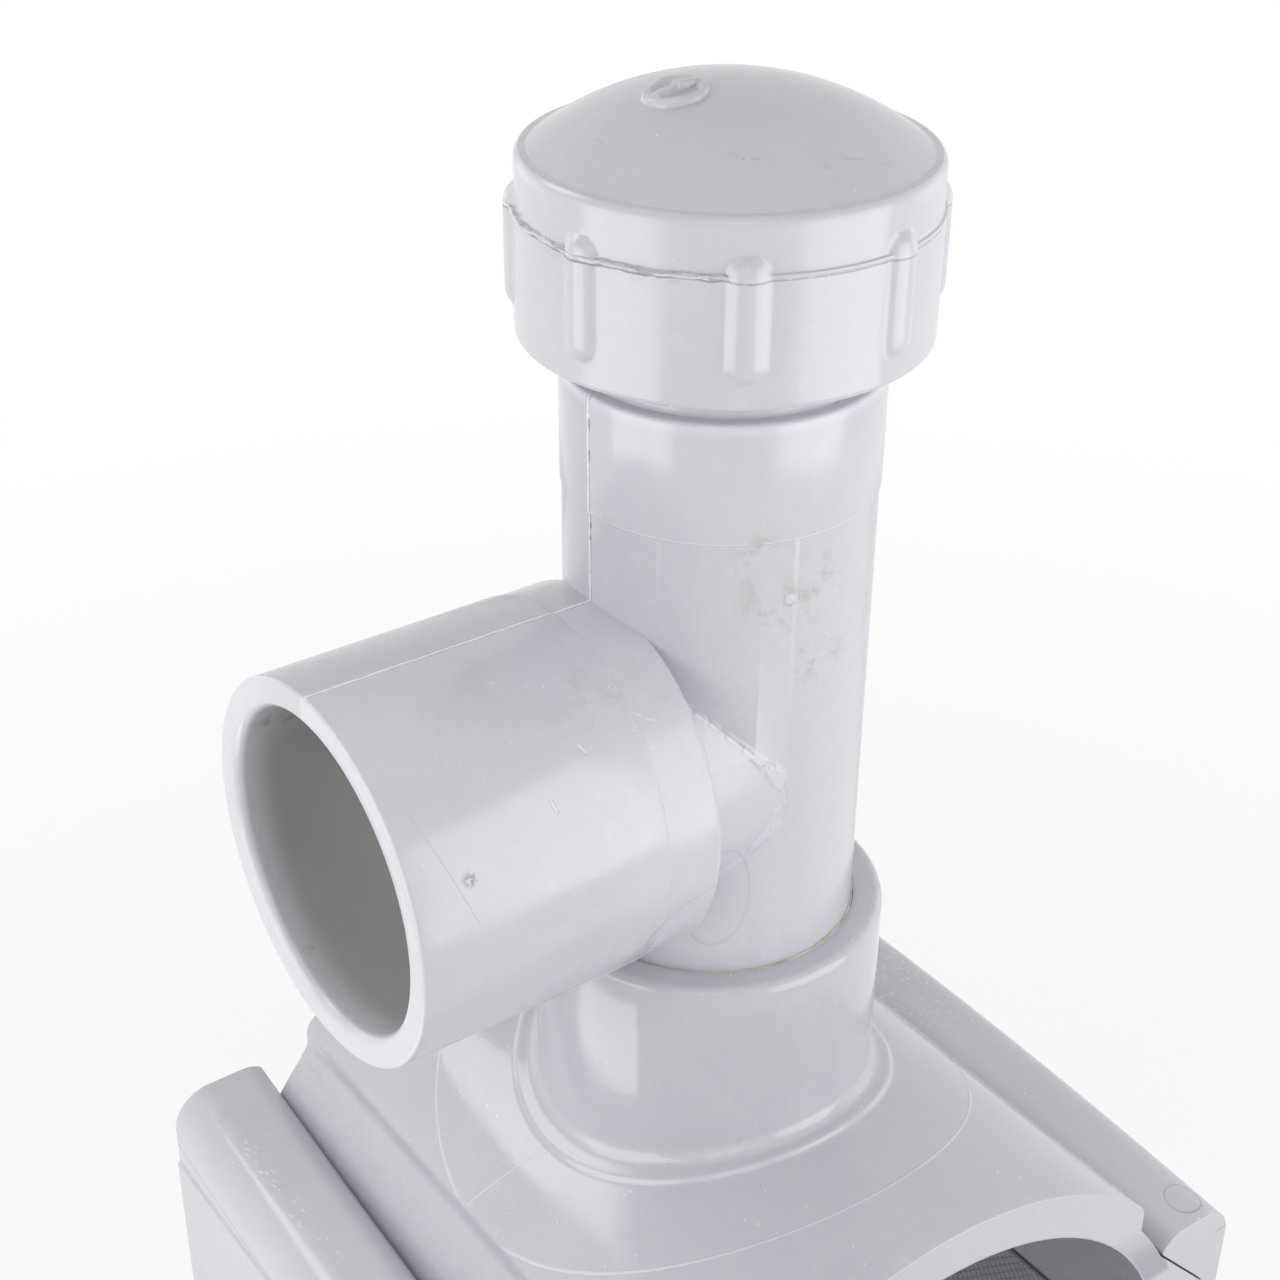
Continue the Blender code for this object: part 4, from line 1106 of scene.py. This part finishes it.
def saddle_upper_finish():
    """The upper half: a ring and a weld line on the crown, seams, nicks, and painted shade in the bore, on
    the flanks next to the rails and along the parting.
    """
    finish = moulded("grey_pvc_upper", GREY, 0.09, 0.55)
    band, line, tinted, marked = finish.band, finish.line, finish.tinted, finish.marked
    x, y, z = finish.x, finish.y, finish.z
    from_tee, from_main = finish.radius_round(x, y), finish.radius_round(y, z)
    on_crown = band(from_main, CROWN_R - 0.0008, CROWN_R - 0.0003) * band(z, 0.0720, 0.0690)
    marked(line(from_tee, 0.0460, 0.00032) * on_crown, 0.00007, 1.25, 0.6)

    collar = line(from_tee, COLLAR_R, 0.0006) * band(z, 0.0690, 0.0720)
    azimuth = y.angle_to(x)
    for degrees in (-112.0, -106.0):
        marked(line(azimuth, math.radians(degrees), 0.009) * collar, 0.00006, 1.12, 0.4)

    near_foot = finish.spot((-0.004, -0.034, 0.056), 0.020, 0.3)
    nicks, = finish.specks(850.0, 0.00013, (0.60,), (20, 60, 30), 5.0)
    tinted(nicks * near_foot, 1.45, 0.6)
    weld = line(x - y * 0.385, 0.0129, 0.00020) * band(y, -0.0456, -0.0450) * band(y, -0.0330, -0.0340)
    marked(weld * on_crown, 0.00004, 1.22, 0.6)
    # Painted shade on the shell's flanks in the gap next to the rails
    gap_shade = band(z, 0.0420, 0.0300) * band(from_main, SHELL_R + 0.0008, SHELL_R + 0.0003)
    tinted(gap_shade * band(z, 0.0240, 0.0260), (0.20, 0.21, 0.25), 0.60)

    bore = band(from_main, BORE_R + 0.0006, BORE_R + 0.0002)
    # Painted shade in the bore
    tinted(bore, (0.46, 0.47, 0.50), 0.85)
    finish.dulled(bore, 0.12)
    # Painted shade along the parting between the halves
    tinted(band(z, 0.0012, 0.0006), PARTING_SHADE, 0.6)
    return finish.done()


def saddle_lower_finish():
    """The lower half, whose bore has a grip pattern: |sin| of two crossing slants, multiplied. Painted shade
    darkens the bore, more so in the pattern's hollows, and the parting.
    """
    finish = moulded("grey_pvc_lower", GREY)
    band, tinted = finish.band, finish.tinted
    x, y, z = finish.x, finish.y, finish.z
    bore = band(finish.radius_round(y, z), BORE_R + 0.0006, BORE_R + 0.0002)
    round_main, pitch = z.angle_to(y) * BORE_R, 0.0019
    slants = [(slant * (math.pi / pitch)).sine() for slant in (x + round_main, x - round_main)]
    weave = abs(slants[0]) * abs(slants[1])
    finish.raised(weave * bore * 0.00022)
    # Painted shade in the bore, darker still in the hollows of the grip pattern
    tinted(bore, (0.36, 0.37, 0.40), 0.9)
    tinted(bore * band(weave, 0.35, 0.05), (0.15, 0.155, 0.17), 0.6)
    finish.dulled(bore, 0.30)
    # Painted shade along the parting between the halves
    tinted(band(z, -0.0012, -0.0006), PARTING_SHADE, 0.6)
    return finish.done()


def rail_finish(name, side):
    """A rail: painted shade along its ledge and low on its inner face next to the shell, scuffs where it was
    rubbed, and a round mark on the right one.
    """
    finish = moulded(name, GREY, 0.14, 0.20)
    band, line, tinted = finish.band, finish.line, finish.tinted
    x, y, z = finish.x, finish.y * side, finish.z
    # Painted shade along the ledge
    tinted(line(z, LEDGE_Z, 0.0005) * band(y, 0.0685, 0.0700), 0.72, 0.6)
    scuffs, = finish.specks(1000.0, 0.00034, (0.85,), (10, 75, 20), 2.5)
    if side > 0:
        round_mark = finish.radius_round(x - 0.0545, y - 0.0656)
        top = band(z, 0.0300, 0.0315)
        ring = line(round_mark, 0.0033, 0.00030) * top
        finish.raised(ring * -0.00008 - band(round_mark, 0.0033, 0.0030) * top * 0.00006)
        tinted(ring, 0.62, 0.5)
        rubbed = band(z, 0.0315, 0.0335) * band(x, 0.02, -0.02)
    else:
        rubbed = line(y, 0.0645, 0.0026) * band(z, 0.0285, 0.0300) * band(x, -0.066, -0.050)
    finish.marked(scuffs * rubbed, 0.00004, 1.35, 0.55)
    # Painted shade low on the inner face, in the gap next to the shell
    inner = band(finish.radius_round(y, z), SHELL_R + 0.0008, SHELL_R + 0.0002) * band(z, 0.0290, 0.0270)
    tinted(inner, 0.45, 0.5)
    return finish.done()


def rubber_finish():
    """Black rubber: fine grain, paler and duller in patches."""
    finish = Finish("black_rubber", (0.022, 0.022, 0.024), 0.55)
    grain = finish.noise(1600.0, 3.0)
    finish.raised(finish.noise(300.0) * 0.00003 + grain * 0.000012)
    finish.tinted(finish.band(finish.noise(140.0, 4.0), 0.45, 0.75), (0.075, 0.072, 0.068), 0.5)
    finish.dulled(finish.band(grain, 0.35, 0.65), 0.14)
    return finish.done()


def brass_finish():
    """Turned brass: fine rings left by the tool, and a brownish bloom."""
    finish = Finish("turned_brass", (0.74, 0.53, 0.24), 0.26, 1.0)
    turned = finish.noise(2600.0, 1.0, place=finish.stretched((0, 0, 0), (60.0, 60.0, 1.0)))
    finish.raised(turned * 0.000008 + finish.noise(500.0) * 0.000005)
    bloom = finish.band(finish.noise(120.0, 4.0, 0.6), 0.45, 0.72)
    finish.tinted(bloom, (0.40, 0.26, 0.12), 0.5)
    finish.dulled(bloom, 0.18)
    return finish.done()


def glue_finish():
    """Set solvent cement: yellowish, glassy in places and grimy in others."""
    finish = Finish("old_cement", (0.56, 0.54, 0.48), 0.35)
    lumps = finish.noise(420.0, 4.0, 0.6)
    finish.raised(lumps * 0.00010)
    finish.tinted(finish.band(lumps, 0.45, 0.62), (0.36, 0.32, 0.25), 0.5)
    finish.dulled(finish.band(lumps, 0.4, 0.6), 0.2)
    return finish.done()


# Room

def seen_white(nodes):
    """One for the rays that see the white background: from the camera, off gloss, through glass."""
    rays = nodes.node("LightPath", output=("Is Camera Ray", "Is Glossy Ray", "Is Transmission Ray"))
    return functools.reduce(Signal.greater, rays)


def room_light(level):
    """An even grey room that looks white behind the object."""
    world = bpy.data.worlds.new("room")
    bpy.context.scene.world = world
    world.use_nodes = True
    room = Nodes(world.node_tree)
    air = room.node("Background", None, ((level, level, level * 1.01, 1.0),))
    white = room.node("Background", None, ((1.0, 1.0, 1.0, 1.0),))
    room.node("OutputWorld", None, (room.node("MixShader", None, (seen_white(room), air, white)),))


def pale_floor():
    """A matt floor that the camera and reflections see nearly white, wholly so far away."""
    material = bpy.data.materials.new("pale_floor")
    material.use_nodes = True
    ground = Nodes(material.node_tree)
    matt = ground.node("BsdfDiffuse", None, ((0.86, 0.86, 0.86, 1.0),))
    white = ground.node("Emission", None, {"Strength": 1.0})
    away = ground.vector("LENGTH", (ground.node("TexCoord", output="Object"),))
    far = FLOOR_WHITE_NEAR + ground.band(away, 0.12, 0.60) * (1.0 - FLOOR_WHITE_NEAR)
    mixed = ground.node("MixShader", None, (seen_white(ground) * far, matt, white))
    ground.node("OutputMaterial", None, (mixed,))
    mesh = bpy.data.meshes.new("floor")
    corners = ((-1, -1), (1, -1), (1, 1), (-1, 1))
    points = [(FLOOR_HALF_WIDTH * x, FLOOR_HALF_WIDTH * y, FLOOR_Z) for x, y in corners]
    mesh.from_pydata(points, [], [(0, 1, 2, 3)])
    mesh.materials.append(material)
    placed("floor", mesh)


set_camera()
bpy.context.scene.view_settings.view_transform = "Standard"
room_light(ROOM_LEVEL)
pale_floor()

grey_upper, grey_lower = saddle_upper_finish(), saddle_lower_finish()
grey_left, grey_right = rail_finish("grey_pvc_left_rail", -1), rail_finish("grey_pvc_right_rail", 1)
white_tee, white_cap = tee_finish(), cap_finish()
rubber, brass = rubber_finish(), brass_finish()
neck_thread = thread_mesh("neck_thread_skin", NECK_R, 0.02225, 0.1925, 0.2145, CAP_PITCH)
cutting_thread = thread_mesh(
    "cutter_thread_skin", CUTTER_R, 0.01745, 0.1712, 0.1878, CUTTER_PITCH, base=0.0018, tip=0.0006)
cap_seal = ring_mesh("cap_seal_skin", 0.0189, 0.0223, 0.2161, 0.2182)
cutter_ring = ring_mesh("cutter_ring_skin", 0.0156, 0.0177, 0.1903, 0.1925)

shown("saddle_upper_skin", saddle_upper_mesh(), grey_upper, "saddle", ["saddle_upper"])
shown("saddle_lower_skin", saddle_lower_mesh(), grey_lower, "saddle", ["saddle_lower"])
shown("left_rail_skin", rail_mesh(-1), grey_left, "left_rail", ["clamp_rail_left"])
shown("right_rail_skin", rail_mesh(1), grey_right, "right_rail", ["clamp_rail_right"])
shown("tee_skin", tee_mesh(), white_tee, "saddle", ["tee_body"])
shown("neck_thread_skin", neck_thread, white_tee, "saddle")
shown("glue_bead", glue_bead_mesh(), glue_finish(), "saddle")
shown("cap_skin", cap_mesh(), white_cap, "cap_body", ["cap"])
shown("gate_stub", gate_mesh(), white_cap, "cap_body")
shown("cutter_skin", cutter_mesh(), brass, "cutter_body", ["cutter"])
shown("cutter_thread_skin", cutting_thread, brass, "cutter_body")
shown("saddle_seal_skin", saddle_seal_mesh(), rubber, "saddle", ["saddle_seal"])
shown("cap_seal_skin", cap_seal, rubber, "cap_lift_body", ["cap_seal"])
shown("cutter_ring_skin", cutter_ring, rubber, "cutter_travel_body", ["cutter_ring"])

standing_lamp("left_panel", -93, 0.27, 0.030, 0.300, 0.22, 0.40)
standing_lamp("right_panel", 24, 0.27, 0.030, 0.330, 0.25, 0.50)
standing_lamp("back_left_softbox", -165, 0.70, 0.000, 0.400, 0.40, 0.30)
standing_lamp("back_right_softbox", 85, 0.70, 0.000, 0.400, 0.40, 0.30)
softbox("top_softbox", (-0.10, 0.05, 0.90), (0.0, 0.0, 0.1), 0.7, 0.7, 0.35)
softbox("front_softbox", (0.55, -0.45, 0.62), (0.0, 0.0, 0.1), 0.4, 0.4, 0.58)
softbox("high_left_softbox", (-0.348, -0.243, 0.484), (0.0, -0.03, 0.06), 0.17, 0.20, 0.30)
softbox("floor_reflector", (-0.040, -0.188, FLOOR_Z + 0.001), (-0.040, -0.188, 0.5), 0.15, 0.065, 0.060)
